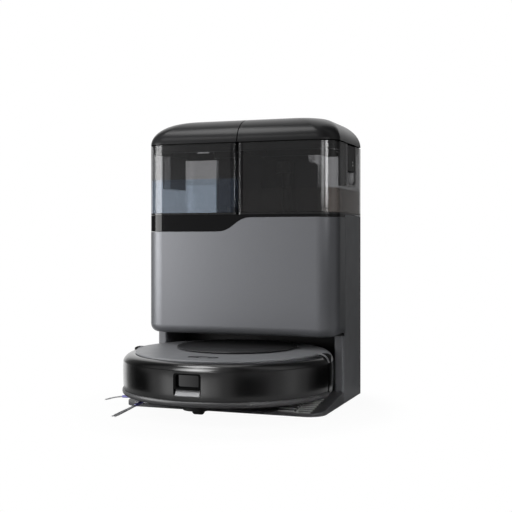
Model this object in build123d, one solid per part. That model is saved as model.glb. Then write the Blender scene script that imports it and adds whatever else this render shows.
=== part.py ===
from build123d import *
import os
from math import cos, radians, sin

# A round robot vacuum and mop, docked on the station that empties, washes and charges it.
# Millimetres. The floor is z = 0, the docked robot's axis is x = y = 0 and the wall is towards +Y.

# Station
STATION_WIDTH = 338.0
STATION_FRONT = 37.0
STATION_REAR = 215.0
STATION_TOP = 477.0
LID_SEAM = 434.0
DECK_TOP = 313.5
FRONT_CORNER = 32.0
TANK_MIDDLE_CORNER = 6.0
REAR_CORNER = 6.0
BAY_WIDTH = 305.0
COVER_BOTTOM = 113.0
COVER_REAR = 101.5
COVER_BOTTOM_RADIUS = 14.0
WALL = 2.5
GAP = 0.5
BAY_BACK = (178.0, 180.5)
DUST_PORT_Z = 68.0
BAG_PORT = (80.0, 235.0)
FAN = (72.0, 158.0)
INLET_X = (-118.0, -88.0)
INLET_Z = (28.0, 54.0)
INLET_MIDDLE = (-103.0, 41.0)

# Base
BASE_FRONT = -45.0
BASE_CORNER = 28.0
BASE_NOSE = 4.5
RAIL_TOP = 19.7
POST_FRONT = 91.0
TRACK = (95.0, 124.0)
TRACK_TOP = 11.7
TRACK_LANDING = -12.0
CENTRE_FLOOR = 5.0
WELL_HALF_WIDTH = 125.0
WELL = (28.0, 172.0)
WELL_FLOOR = 4.0
RIB_RADIUS = 1.3

# Lids and tanks
LID_BASE = LID_SEAM + 0.4
LID_INSET_SIDE = 53.0
LID_INSET_FRONT = 60.0
LID_INSET_REAR = 25.0
LID_HALF_GAP = 0.8
TANK_FLOOR = 314.0
TANK_RIM = LID_SEAM - 1.4
OUTLET = (52.0, 150.0)
OUTLET_RADIUS = 8.9
SPINE_LEFT = 85.0
SPINE_RIGHT = 101.0
SPINE_FRONT = 170.0
SKIRT_BOTTOM = 420.0
SEAL_BOTTOM = 431.4
SEAL_EDGE = (0.5, 2.2)
SKIRT_EDGE = (2.2, 4.7)
HINGE_RADIUS = 3.2
HINGE_Y = STATION_REAR - HINGE_RADIUS
HINGE_Z = LID_BASE + HINGE_RADIUS
KNUCKLE = (-144.5, -120.5)
LATCH = (120.0, 169.0)
LATCH_Z = (389.0, 431.5)
LATCH_PIN = (-165.5, 425.5)
POCKET = (116.0, 173.0)
POCKET_DEPTH = 12.0
POCKET_WALL = 5.0
POCKET_BOTTOM = 365.0

# Robot, measured from the plane that its wheels stand on
ROBOT_DIAMETER = 340.0
ROBOT_HEIGHT = 85.0
DOCK_LIFT = 12.0
FLOOR = (9.0, 12.0)
PAN_RADIUS = 157.0
RING_WALL = (146.0, 148.5)
TOP = 81.0
TOP_THICKNESS = 2.5
TOP_RADIUS = 150.0
BUMPER_END = -7.0
BUMPER_BOTTOM = 23.0
BUMPER_CREASE = 67.5
REAR_SEAM = 66.6
LIP_BOTTOM = 15.0
DISC_RADIUS = 99.5
DISC_Y = 39.0
BUTTON_X = 15.0
BUTTON_Y = -107.0
WHEEL_X = 114.0
WHEEL_RADIUS = 33.0
ARM_PIVOT = (40.0, 38.0)
CASTER_Y = -128.0
CASTER_TRAIL = 4.0
CASTER_RADIUS = 12.0
CASTER_DROP = 3.0
BRUSH_Y = -60.0
BRUSH_Z = 20.0
BRUSH_RADIUS = 19.0
TUNNEL_RADIUS = 22.5
SIDE_BRUSH = (-114.0, -68.0)
SIDE_BRUSH_ANGLES = (42.0, 162.0, 282.0)
STALK_REACH = 30.0
BRISTLE_REACH = 94.0
BRISTLE_DROOP = (1.5, 11.0, 13.0)
BRISTLE_TRAIL = (-9.0, 0.0, -30.0)
MOP_X = 64.0
MOP_Y = 88.0
MOP_RADIUS = 58.0
WINDOW_HALF_WIDTH = 22.0
WINDOW_Z = (30.0, 64.0)
CHIN_TOP = 40.0

HALF_WIDTH = STATION_WIDTH / 2
HALF_BAY = BAY_WIDTH / 2
ROBOT_RADIUS = ROBOT_DIAMETER / 2


def slab(x, y, z):
    """Box between low and high values on each axis."""
    spans = [sorted(span) for span in (x, y, z)]
    centre = [(low + high) / 2 for low, high in spans]
    size = [high - low for low, high in spans]
    return Pos(*centre) * Box(*size)


def upright(x, y, z, radius):
    """Cylinder along Z."""
    return Pos(x, y, sum(z) / 2) * Cylinder(radius, z[1] - z[0])


def across(x, y, z, radius):
    """Cylinder along X."""
    low, high = sorted(x)
    return Pos((low + high) / 2, y, z) * Rot(0, 90, 0) * Cylinder(radius, high - low)


def along(x, y, z, radius):
    """Cylinder along Y."""
    return Pos(x, sum(y) / 2, z) * Rot(90, 0, 0) * Cylinder(radius, y[1] - y[0])


def prism(plan, z):
    """A plan outline raised between two heights."""
    return extrude(Pos(0, 0, z[0]) * plan, z[1] - z[0], dir=(0, 0, 1))


def rounded_plan(x, y, front_radius, rear_radius):
    """Rectangle in plan, with its front and its rear corners rounded."""
    plan = Pos(sum(x) / 2, sum(y) / 2) * Rectangle(x[1] - x[0], y[1] - y[0])
    if front_radius:
        plan = fillet(plan.vertices().group_by(Axis.Y)[0], front_radius)
    if rear_radius:
        plan = fillet(plan.vertices().group_by(Axis.Y)[-1], rear_radius)
    return plan


def turned(points):
    """Section of (radius, height) points, turned about Z."""
    section = make_face(Polyline(*[(r, 0, z) for r, z in points], close=True))
    return revolve(section, Axis.Z, 360)


def side_prism(points, x):
    """Outline of (y, z) points, extruded along X."""
    outline = make_face(Polyline(*[(x[0], y, z) for y, z in points], close=True))
    return extrude(outline, x[1] - x[0], dir=(1, 0, 0))


def front_prism(outline, y):
    """Outline drawn on the XZ plane, extruded along Y."""
    return extrude(Pos(0, y[0], 0) * outline, y[1] - y[0], dir=(0, 1, 0))


def front_window(x, z, y, radius):
    """Rounded rectangle seen from the front, extruded along Y."""
    shape = RectangleRounded(x[1] - x[0], z[1] - z[0], radius)
    return front_prism(Plane.XZ * Pos(sum(x) / 2, sum(z) / 2) * shape, y)


def mirrored(shape):
    """The same piece on the other side of the middle."""
    return mirror(shape, about=Plane.YZ)


def docked(shape):
    """Lift a robot piece from its wheel plane to its docked height."""
    return Pos(0, 0, DOCK_LIFT) * shape


# Station, fixed pieces

def ramp_height(y):
    """Height of the ramp's slope at a distance from the front."""
    slope = (RAIL_TOP - BASE_NOSE) / (POST_FRONT - BASE_FRONT)
    return BASE_NOSE + slope * (y - BASE_FRONT)


def foot_places():
    """Centres of the rubber pads under the base."""
    return [(x, y) for x in (-130.0, 0.0, 130.0) for y in (-20.0, 190.0)]


def base_plate():
    """Ramp with side rails, ribbed wheel tracks and a well for the wash tray."""
    rear_edge = STATION_REAR - WALL - GAP
    plan = rounded_plan((-HALF_WIDTH, HALF_WIDTH), (BASE_FRONT, POST_FRONT - GAP), BASE_CORNER, 0)
    plan += rounded_plan((GAP - HALF_BAY, HALF_BAY - GAP), (POST_FRONT - 2, rear_edge), 0, 0)
    nose = [(BASE_FRONT, 0), (BASE_FRONT, BASE_NOSE)]
    side = nose + [(POST_FRONT, RAIL_TOP), (rear_edge, RAIL_TOP), (rear_edge, 0)]
    base = prism(plan, (0, RAIL_TOP)) & side_prism(side, (-HALF_WIDTH, HALF_WIDTH))
    base -= slab((-TRACK[0], TRACK[0]), (BASE_FRONT - 1, WELL[0]), (CENTRE_FLOOR, RAIL_TOP))
    track_side = nose + [(TRACK_LANDING, TRACK_TOP), (WELL[0], TRACK_TOP), (WELL[0], 0)]
    for side_sign in (-1, 1):
        track = sorted(side_sign * edge for edge in TRACK)
        base -= slab(track, (BASE_FRONT - 1, WELL[0]), (1, RAIL_TOP))
        base += side_prism(track_side, track)
    base -= slab((-WELL_HALF_WIDTH, WELL_HALF_WIDTH), WELL, (WELL_FLOOR, RAIL_TOP + 1))
    rib_pitch = 11.0
    track_slope = (TRACK_TOP - BASE_NOSE) / (TRACK_LANDING - BASE_FRONT)
    for side_sign in (-1, 1):
        rail_rib = (side_sign * (TRACK[1] + 2), side_sign * 150)
        track_rib = (side_sign * (TRACK[0] + 2), side_sign * (TRACK[1] - 1))
        for step in range(8):
            y = BASE_FRONT + 7 + rib_pitch * step
            base += across(rail_rib, y, ramp_height(y), RIB_RADIUS)
            track_height = BASE_NOSE + track_slope * (y - BASE_FRONT)
            if track_height + RIB_RADIUS < TRACK_TOP:
                base += across(track_rib, y, track_height, RIB_RADIUS)
    for x, y in foot_places():
        base -= upright(x, y, (-1, 1.5), 9)
    return base


def foot_pads():
    """Rubber pads, flush with the underside."""
    return [upright(x, y, (0, 1.5), 8.9) for x, y in foot_places()]


def wash_tray():
    """Basin under the mops, with a ring of scrubbing ribs below each one."""
    half = WELL_HALF_WIDTH - GAP
    span = (WELL[0] + GAP, WELL[1] - GAP)
    rim = DOCK_LIFT - 0.4
    floor = WELL_FLOOR + WALL
    tray = prism(rounded_plan((-half, half), span, 10, 10), (WELL_FLOOR, rim))
    inside = rounded_plan((WALL - half, half - WALL), (span[0] + WALL, span[1] - WALL), 8, 8)
    tray -= prism(inside, (floor, rim + 1))
    ribs_per_mop = 10
    rib = slab((18, 52), (-1.5, 1.5), (floor - 1, rim - 0.2))
    for x in (-MOP_X, MOP_X):
        tray += upright(x, MOP_Y, (floor - 1, floor + 2), 12)
        for step in range(ribs_per_mop):
            tray += Pos(x, MOP_Y, 0) * Rot(0, 0, 18 + 360 / ribs_per_mop * step) * rib
    return tray - upright(0, WELL[1] - 14, (0, 20), 6)


def right_side_panel():
    """Flat side of the station, folded round to make the right post of the bay."""
    rear_edge = STATION_REAR - 13.5
    post_top = COVER_BOTTOM - 1
    post = prism(rounded_plan((HALF_BAY, HALF_WIDTH), (POST_FRONT, rear_edge), 4, 0), (0, post_top))
    post -= slab((HALF_BAY + 3, HALF_WIDTH - 3), (POST_FRONT + 3, rear_edge + 1), (-1, post_top - 3))
    return post + slab((HALF_WIDTH - 3, HALF_WIDTH), (COVER_REAR + 1, rear_edge), (post_top - 1, DECK_TOP))


def rear_panel():
    """Back wall that wraps the rear corners, with the inlet's opening and exhaust slots."""
    front_edge = STATION_REAR - 13
    plan = rounded_plan((-HALF_WIDTH, HALF_WIDTH), (front_edge, STATION_REAR), 0, REAR_CORNER)
    inside = (WALL - HALF_WIDTH, HALF_WIDTH - WALL)
    inner = rounded_plan(inside, (front_edge - 1, STATION_REAR - WALL), 0, 4)
    panel = prism(plan, (0, DECK_TOP)) - prism(inner, (-1, DECK_TOP + 1))
    wall = (STATION_REAR - 5, STATION_REAR + 1)
    panel -= front_window(INLET_X, INLET_Z, wall, 3)
    for step in range(7):
        low = 140.0 + 13 * step
        panel -= front_window((35, 115), (low, low + 6), wall, 2.9)
    return panel


def inner_frame():
    """Back wall and ceiling of the bay, and the middle wall that carries the dust bag."""
    half = HALF_BAY - GAP
    front = COVER_REAR + GAP
    back = slab((-half, half), BAY_BACK, (RAIL_TOP + 0.3, COVER_BOTTOM + WALL))
    ceiling = slab((-half, half), (front, BAY_BACK[1]), (COVER_BOTTOM, COVER_BOTTOM + WALL))
    middle = slab((-half, half), (front, front + WALL), (COVER_BOTTOM, DECK_TOP - 6))
    frame = back + ceiling + middle
    for x in (-120, -60, 0, 140):
        frame += slab((x - 1, x + 1), (front - 12, front + 1), (COVER_BOTTOM + 15, DECK_TOP - 8))
    frame += slab((22, 138), (front - 40, front + 1), (130, 133))
    frame -= along(BAG_PORT[0], (front - 5, front + 5), BAG_PORT[1], 18)
    return frame - along(0, (BAY_BACK[0] - 5, BAY_BACK[1] + 5), DUST_PORT_Z, 16)


def tank_deck():
    """Platform under the tanks, with a socket for each tank's outlet."""
    inset = WALL + GAP
    plan = rounded_plan(
        (inset - HALF_WIDTH, HALF_WIDTH - inset),
        (STATION_FRONT + inset, STATION_REAR - WALL - GAP),
        FRONT_CORNER - inset,
        4,
    )
    deck = prism(plan, (DECK_TOP - 5.5, DECK_TOP))
    for x in (-OUTLET[0], OUTLET[0]):
        deck += upright(x, OUTLET[1], (DECK_TOP - 16, DECK_TOP - 5), OUTLET_RADIUS + 5)
        deck -= upright(x, OUTLET[1], (DECK_TOP - 20, DECK_TOP + 1), OUTLET_RADIUS + 1.1)
    return deck


def rear_spine():
    """Air duct and filter tower that stands behind the two tanks, with a stepped right shoulder."""
    shoulder = 407.0
    neck = 84.0
    top = 428.0
    points = [
        (-SPINE_LEFT, DECK_TOP), (-SPINE_LEFT, top), (neck, top),
        (neck, shoulder), (SPINE_RIGHT, shoulder), (SPINE_RIGHT, DECK_TOP),
    ]
    outline = make_face(Polyline(*[(x, 0, z) for x, z in points], close=True))
    outline = fillet([v for v in outline.vertices() if v.Z > DECK_TOP + 1], 8)
    tower = front_prism(outline, (SPINE_FRONT, STATION_REAR - 0.5))
    hollow = Pos(0, 0, -10) * offset(outline, -3)
    return tower - front_prism(hollow, (SPINE_FRONT + 3, STATION_REAR - 3.5))


def front_shell():
    """Thin bent shell of the station's front: straight face, round corners and a rolled bottom edge."""
    def rolled(inset, rear, top):
        plan = rounded_plan(
            (inset - HALF_WIDTH, HALF_WIDTH - inset), (STATION_FRONT + inset, rear), FRONT_CORNER - inset, 0
        )
        body = prism(plan, (COVER_BOTTOM + inset, top))
        lower = [e for e in body.edges().group_by(Axis.Z)[0] if e.center().Y < rear - 0.1]
        return fillet(lower, COVER_BOTTOM_RADIUS - inset)
    return rolled(0, COVER_REAR, DECK_TOP) - rolled(WALL, COVER_REAR + 5, DECK_TOP + 5)


def above_wave(drop):
    """Everything above the wave edge: deep at the left, a thin strip at the right."""
    low = 286.0 - drop
    high = 309.5 - drop
    left = -36.0
    right = 26.0
    middle = (left + right) / 2
    wave = Bezier((left, 0, low), (middle, 0, low), (middle, 0, high), (right, 0, high))
    rest = Polyline(
        (right, 0, high), (200, 0, high), (200, 0, 330), (-200, 0, 330), (-200, 0, low), (left, 0, low)
    )
    return front_prism(make_face([wave, rest]), (0, 150))


def fascia_band():
    """Dark band above the front cover."""
    return front_shell() & above_wave(0)


def front_cover():
    """Cover over the dust bag, cut along the wave."""
    return front_shell() - above_wave(0.6)


def dust_bag():
    """Paper dust bag, as a soft block on its card collar."""
    bag = slab((24, 136), (46, 96), (135, 288))
    bag = fillet(bag.edges(), 16)
    x, z = BAG_PORT
    collar = slab((x - 35, x + 35), (94, 99), (z - 30, z + 30))
    return bag + collar - along(x, (85, 105), z, 17)


def suction_fan():
    """Fan housing with its motor can."""
    fan = upright(*FAN, (150, 182), 44) + upright(*FAN, (182, 240), 32)
    fan += slab((FAN[0], FAN[0] + 44), (FAN[1] + 27, FAN[1] + 44), (152, 180))
    return fan - upright(*FAN, (140, 155), 18)


def water_pumps():
    """Fresh water pump and waste pump, side by side."""
    pumps = []
    for x in (-115, -45):
        body = slab((x - 18, x + 18), (140, 176), (118, 146))
        body = fillet(body.edges().filter_by(Axis.Z), 5)
        pumps.append(body + upright(x, 158, (145, 190), 14) + along(x, (176, 196), 132, 4))
    return pumps


def control_board():
    """Circuit board with its tallest parts."""
    face = 204.0
    board = slab((-140, -30), (face, face + 1.6), (205, 295))
    board += slab((-130, -100), (face - 17.5, face + 0.5), (217, 243))
    board += slab((-81, -59), (face - 11.5, face + 0.5), (262, 278))
    return board + slab((-68, -52), (face - 19.5, face + 0.5), (217, 233))


def power_inlet():
    """Socket for the mains lead, with its two pins."""
    play = 0.2
    body_x = (INLET_X[0] + play, INLET_X[1] - play)
    body_z = (INLET_Z[0] + play, INLET_Z[1] - play)
    x, z = INLET_MIDDLE
    socket = front_window(body_x, body_z, (188, STATION_REAR - 0.6), 3)
    socket -= front_window((x - 9, x + 9), (z - 7, z + 7), (196, STATION_REAR + 1), 6.9)
    for offset_x in (-4.5, 4.5):
        socket += along(x + offset_x, (194, STATION_REAR - 3), z, 1.2)
    return socket


def dock_contacts():
    """Two charging contacts on the back wall of the bay."""
    return [front_window((x - 9, x + 9), (36, 46), (169.2, BAY_BACK[0]), 3) for x in (-32, 32)]


# Station, tanks and lids

def tank_plan(spine):
    """Plan of the left tank, with a notch that clears that side of the spine."""
    plan = Pos((-HALF_WIDTH - 1) / 2, (STATION_FRONT + STATION_REAR) / 2) * Rectangle(
        HALF_WIDTH - 1, STATION_REAR - STATION_FRONT
    )
    plan = fillet(plan.vertices().group_by(Axis.X)[0].sort_by(Axis.Y)[0], FRONT_CORNER)
    plan = fillet(plan.vertices().group_by(Axis.X)[-1].sort_by(Axis.Y)[0], TANK_MIDDLE_CORNER)
    plan = fillet(plan.vertices().group_by(Axis.Y)[-1].sort_by(Axis.X)[0], REAR_CORNER)
    notch = (spine + 1.5, SPINE_FRONT - 1.5)
    return plan - Pos(-notch[0] / 2, notch[1] + 50) * Rectangle(notch[0], 100)


def cavity_plan(spine):
    """Plan of the space inside the left tank at its rim, round the latch pocket."""
    reach = POCKET_DEPTH + WALL
    width = POCKET[1] - POCKET[0] + 2 * POCKET_WALL
    pocket = Pos(reach / 2 - HALF_WIDTH, sum(POCKET) / 2) * Rectangle(reach, width)
    return offset(tank_plan(spine), -WALL) - pocket


def cavity_ring(spine, edge):
    """Band that follows the tank's inner wall, between two distances from it."""
    return offset(cavity_plan(spine), -edge[0]) - offset(cavity_plan(spine), -edge[1])


def tank(spine):
    """Clear left tank: shell, latch pocket in its outer wall and a hinge knuckle at the back."""
    plan = tank_plan(spine)
    cavity = prism(offset(plan, -WALL), (TANK_FLOOR + 3, TANK_RIM + 10))
    cavity -= slab(
        (-HALF_WIDTH, POCKET_DEPTH + WALL - HALF_WIDTH),
        (POCKET[0] - POCKET_WALL, POCKET[1] + POCKET_WALL),
        (POCKET_BOTTOM - WALL, TANK_RIM + 10),
    )
    shell = prism(plan, (TANK_FLOOR, TANK_RIM)) - cavity
    pocket = slab((-HALF_WIDTH - 1, POCKET_DEPTH - HALF_WIDTH), POCKET, (POCKET_BOTTOM, TANK_RIM + 1))
    corners = pocket.edges().filter_by(Axis.X).group_by(Axis.Z)[0]
    shell -= fillet(corners, 12)
    shell -= along(LATCH_PIN[0], (POCKET[0] - 2.6, POCKET[1] + 2.6), LATCH_PIN[1], 2.05)
    shell -= upright(-OUTLET[0], OUTLET[1], (TANK_FLOOR - 1, TANK_FLOOR + 5), OUTLET_RADIUS + 0.2)
    web = slab(KNUCKLE, (STATION_REAR - WALL, STATION_REAR), (TANK_RIM - 8, HINGE_Z))
    return shell + web + across(KNUCKLE, HINGE_Y, HINGE_Z, HINGE_RADIUS)


def tank_valve():
    """Spring valve in the floor of the clean tank, with a mesh cap."""
    place = (-OUTLET[0], OUTLET[1])
    valve = upright(*place, (TANK_FLOOR - 9, TANK_FLOOR + 3), OUTLET_RADIUS)
    valve += upright(*place, (TANK_FLOOR + 3, TANK_FLOOR + 6), OUTLET_RADIUS + 3)
    return valve + upright(*place, (TANK_FLOOR + 6, TANK_FLOOR + 16), OUTLET_RADIUS - 1)


def standpipe():
    """Pipe that brings the used water in above its level, with a float cage at its top."""
    x, y = OUTLET
    top = TANK_RIM - 24
    pipe = upright(x, y, (TANK_FLOOR - 9, top), OUTLET_RADIUS)
    pipe += upright(x, y, (TANK_FLOOR + 3, TANK_FLOOR + 6), OUTLET_RADIUS + 3)
    pipe += slab((x - 16, x + 9), (y - 12, y + 10), (top - 20, top))
    return pipe - upright(x, y, (TANK_FLOOR - 10, top + 1), OUTLET_RADIUS - WALL)


def lid_dome(inset, floor, top):
    """Dome over both tanks: rounded plans that draw in along a quarter ellipse."""
    steps = 7
    sections = []
    for step in range(steps + 1):
        angle = radians(90 * step / steps)
        draw = 1 - cos(angle)
        side = HALF_WIDTH - inset - LID_INSET_SIDE * draw
        front = STATION_FRONT + inset + LID_INSET_FRONT * draw
        rear = STATION_REAR - inset - LID_INSET_REAR * draw
        plan = rounded_plan((-side, side), (front, rear), FRONT_CORNER + 10 * draw, REAR_CORNER + 20 * draw)
        sections.append(Pos(0, 0, floor + (top - floor) * sin(angle)) * plan)
    return loft(sections)


def hinge_room(low):
    """Space that the lid leaves round the tank's knuckle."""
    return slab((KNUCKLE[0] - 0.7, KNUCKLE[1] + 0.7), (HINGE_Y - 4.8, STATION_REAR + 1), (low, HINGE_Z + 5.4))


def lid(spine):
    """Left lid: a thin dome with a skirt that plugs the tank, rounded along its hinge edge.
    The skirt stops behind the latch pocket, where it would swing into the pocket's wall."""
    left = slab((-HALF_WIDTH - 1, -LID_HALF_GAP), (0, 250), (LID_BASE, STATION_TOP + 5))
    hollow = slab((-HALF_WIDTH - 1, -LID_HALF_GAP - WALL), (0, 250), (LID_BASE + WALL, STATION_TOP + 5))
    body = lid_dome(0, LID_BASE, STATION_TOP) & left
    body -= lid_dome(WALL, LID_BASE, STATION_TOP - WALL) & hollow
    body -= prism(offset(cavity_plan(spine), -SKIRT_EDGE[1]), (LID_BASE - 1, LID_BASE + WALL + 1))
    edge = slab((-HALF_WIDTH, 0), (HINGE_Y, STATION_REAR + 1), (LID_BASE - 1, HINGE_Z))
    body -= edge - across((-HALF_WIDTH, 0), HINGE_Y, HINGE_Z, HINGE_RADIUS)
    skirt = prism(cavity_ring(spine, SKIRT_EDGE), (SKIRT_BOTTOM, LID_BASE + 1))
    pocket_inner = POCKET_DEPTH + WALL - HALF_WIDTH
    pocket_rear = POCKET[1] + POCKET_WALL
    skirt -= slab(
        (-HALF_WIDTH, pocket_inner + SKIRT_EDGE[1] + GAP),
        (pocket_rear, pocket_rear + 15),
        (SKIRT_BOTTOM - 1, LID_BASE),
    )
    return body + skirt - hinge_room(LID_BASE - 1)


def lid_seal(spine):
    """Dark gasket round the left lid's skirt."""
    return prism(cavity_ring(spine, SEAL_EDGE), (SEAL_BOTTOM, LID_BASE)) - hinge_room(LID_BASE - 1)


def latch():
    """Left latch: a bowed tab on a cross pin, with a lifted lower edge."""
    outer = -HALF_WIDTH + 0.4
    tab = slab((outer, outer + 5), LATCH, LATCH_Z)
    tab = fillet(tab.edges().filter_by(Axis.X), 3)
    tab -= slab((outer + 3, outer + 6), (LATCH[0] + 4, LATCH[1] - 4), (LATCH_Z[0] - 1, LATCH_Z[0] + 28))
    return tab + along(LATCH_PIN[0], (POCKET[0] - 2.3, POCKET[1] + 2.3), LATCH_PIN[1], 2)


# Robot, fixed pieces

def chassis():
    """Bottom pan with a ring wall, brush tunnel, wheel wells, caster cup and pivot lugs."""
    inner, outer = RING_WALL
    rim = 66.0
    under = [(0, FLOOR[0]), (inner, FLOOR[0]), (PAN_RADIUS, 15)]
    over = [(PAN_RADIUS, 17.5), (inner, FLOOR[1]), (0, FLOOR[1])]
    pan = turned(under + over)
    lip = [(outer, rim), (inner - 10, rim), (inner - 10, rim - WALL)]
    pan += turned([(inner, 11), (outer, 12.5)] + lip + [(inner, rim - WALL)])
    tunnel = across((-90, 90), BRUSH_Y, BRUSH_Z, TUNNEL_RADIUS + WALL)
    pan += tunnel & slab((-95, 95), (-100, 0), (FLOOR[0], 60))
    pan -= across((-87.5, 87.5), BRUSH_Y, BRUSH_Z, TUNNEL_RADIUS)
    pan -= slab((-30, 30), (-48, -30), (28, 36))
    for side in (-1, 1):
        pan += slab((side * 99.5, side * 129), (-40, 40), (FLOOR[0], 40))
        pan -= slab((side * 101.5, side * 127), (-38, 38), (FLOOR[0] - 1, 41))
        pan -= slab((side * 98, side * 102), (-9, 9), (25, 41))
        for lug in ((84, 87.5), (99.5, 101.5)):
            pan += slab((side * lug[0], side * lug[1]), (33, 47), (FLOOR[1] - 1, 46))
        pan -= across((side * 83, side * 102), *ARM_PIVOT, 3.1)
        pan -= upright(side * MOP_X, MOP_Y, (0, 20), 9)
    pan += upright(0, CASTER_Y, (FLOOR[1] - 1, 33), 25.5) + upright(0, CASTER_Y, (32, 41), 8)
    pan -= upright(0, CASTER_Y, (0, 30), 23)
    pan -= upright(0, CASTER_Y, (20, 50), 4.6)
    pan -= upright(*SIDE_BRUSH, (0, 20), 6)
    pan -= slab((-96, 96), (BRUSH_Y - 34, BRUSH_Y + 34), (0, FLOOR[0] + 1.6))
    return pan


def rear_shell():
    """Side wall of the rear half, with a bottom flange, end walls and the dust port."""
    top = REAR_SEAM
    flange = PAN_RADIUS + GAP
    wall = make_face([
        Polyline((flange, 0, 14), (165, 0, 14)),
        ThreePointArc((165, 0, 14), (168.2, 0, 17), (169, 0, 22)),
        ThreePointArc((169, 0, 22), (ROBOT_RADIUS, 0, 47), (169.5, 0, top)),
        Polyline((169.5, 0, top), (167, 0, top), (167, 0, 16.5), (flange, 0, 16.5), (flange, 0, 14)),
    ])
    shell = revolve(wall, Axis.Z, 180)
    for side in (-1, 1):
        shell += slab((side * 150.3, side * 167.2), (0, WALL), (18, top))
    shell -= front_window((-20, 20), (45, 64), (150, 180), 6)
    for angle in (79, 101):
        shell -= Rot(0, 0, angle) * slab((168, 172), (-10, 10), (24, 34))
    return shell


def top_cover():
    """Grey top: flat disc in front, carried over a round shoulder at the rear."""
    under = TOP - TOP_THICKNESS
    seam = REAR_SEAM + 0.3
    cover = turned([
        (0, under), (TOP_RADIUS, under), (TOP_RADIUS, TOP - 0.8), (TOP_RADIUS - 0.8, TOP), (0, TOP),
    ])
    shoulder = make_face([
        Polyline((TOP_RADIUS - 2, 0, under), (TOP_RADIUS - 2, 0, TOP), (TOP_RADIUS + 2, 0, TOP)),
        ThreePointArc((TOP_RADIUS + 2, 0, TOP), (164.3, 0, 77.2), (169.5, 0, seam)),
        Polyline((169.5, 0, seam), (167, 0, seam)),
        ThreePointArc((167, 0, seam), (162.4, 0, 75.4), (TOP_RADIUS + 1.5, 0, under)),
        Polyline((TOP_RADIUS + 1.5, 0, under), (TOP_RADIUS - 2, 0, under)),
    ])
    cover += revolve(shoulder, Axis.Z, 180)
    cover += turned([(136.5, 66.3), (139, 66.3), (139, under + 1), (136.5, under + 1)])
    cover -= upright(0, DISC_Y, (60, 90), DISC_RADIUS - 6.5)
    cover -= Pos(0, BUTTON_Y, TOP - 0.8) * extrude(SlotOverall(50, 19), 5)
    for x in (-BUTTON_X, BUTTON_X):
        cover -= upright(x, BUTTON_Y, (70, 90), 7.3)
    return cover


def dust_box():
    """Dust bin under the round lid, with its filter frame and inlet mouth."""
    box = fillet(slab((-70, 70), (-24, 62), (36, 74)).edges().filter_by(Axis.Z), 10)
    box -= slab((-67, 67), (-21, 59), (39, 71.5))
    box -= slab((-28, 28), (-30, -18), (42, 56))
    return box - slab((-40, 40), (55, 65), (45, 66))


def robot_fan():
    """Fan of the robot, between the mop motors."""
    return upright(0, 108, (14, 44), 30) + upright(0, 108, (44, 60), 20) - upright(0, 108, (50, 61), 15)


def battery():
    """Battery pack under the dust bin."""
    return fillet(slab((-72, 72), (-24, 36), (12.3, 33)).edges().filter_by(Axis.X), 5)


def main_board():
    """Circuit board over the caster."""
    board = slab((-56, 56), (-130, -90), (50, 51.6))
    for x, width in ((-38, 22), (0, 30), (36, 18)):
        board += slab((x - width / 2, x + width / 2), (-122, -102), (51, 56))
    return board


def brush_guard():
    """Frame that holds the main brush in, with a pair of release tabs."""
    low, high = FLOOR[0], FLOOR[0] + 1.4
    guard = prism(rounded_plan((-95.5, 95.5), (BRUSH_Y - 33.5, BRUSH_Y + 33.5), 6, 6), (low, high))
    guard -= prism(rounded_plan((-86, 86), (BRUSH_Y - 20, BRUSH_Y + 20), 4, 4), (low - 1, high + 1))
    for x in (-60, 60):
        guard -= Pos(x, BRUSH_Y + 27, low) * extrude(SlotOverall(22, 8), 0.7)
    return guard


def charge_plates():
    """Metal charging plates let into the rear shell."""
    return [Rot(0, 0, angle) * slab((168.1, 170.3), (-9.5, 9.5), (24.5, 33.5)) for angle in (79, 101)]


def gear_motors():
    """Motors of the two mops and of the side brush."""
    motors = []
    for x in (-MOP_X, MOP_X):
        motors.append(upright(x, MOP_Y, (12.2, 50), 24) - upright(x, MOP_Y, (12, 32), 6.1))
    motors.append(upright(*SIDE_BRUSH, (12.2, 40), 12) - upright(*SIDE_BRUSH, (12, 30), 3.1))
    return motors


# Robot, moving pieces

def disc_lid():
    """Round lid: a thin cap with an undercut edge, a soft crown and a ring that drops into the opening."""
    high = ROBOT_HEIGHT
    crown = 40.0
    edge = high - 0.9
    rim = DISC_RADIUS - 0.6
    ring = DISC_RADIUS - 7.2
    ring_inner = ring - 2.3
    ring_bottom = TOP - 5
    seat = TOP + 0.3
    cap = [(0, high - WALL), (ring_inner, high - WALL - 0.4)]
    plug = [(ring_inner, ring_bottom), (ring, ring_bottom), (ring, seat)]
    outer = [(DISC_RADIUS - 3.5, seat), (DISC_RADIUS, TOP + 2), (DISC_RADIUS, edge - 0.6), (rim, edge)]
    section = make_face([
        Polyline(*[(r, 0, z) for r, z in cap + plug + outer]),
        ThreePointArc((rim, 0, edge), ((rim + crown) / 2, 0, high - 0.23), (crown, 0, high)),
        Polyline((crown, 0, high), (0, 0, high), (0, 0, high - WALL)),
    ])
    return Pos(0, DISC_Y, 0) * revolve(section, Axis.Z, 360)


def button(x):
    """Round key with a retaining flange."""
    bottom = TOP - 6
    flange = upright(x, BUTTON_Y, (bottom, TOP - TOP_THICKNESS - 0.4), 9)
    return flange + upright(x, BUTTON_Y, (bottom, TOP - 0.2), 7)


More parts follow.
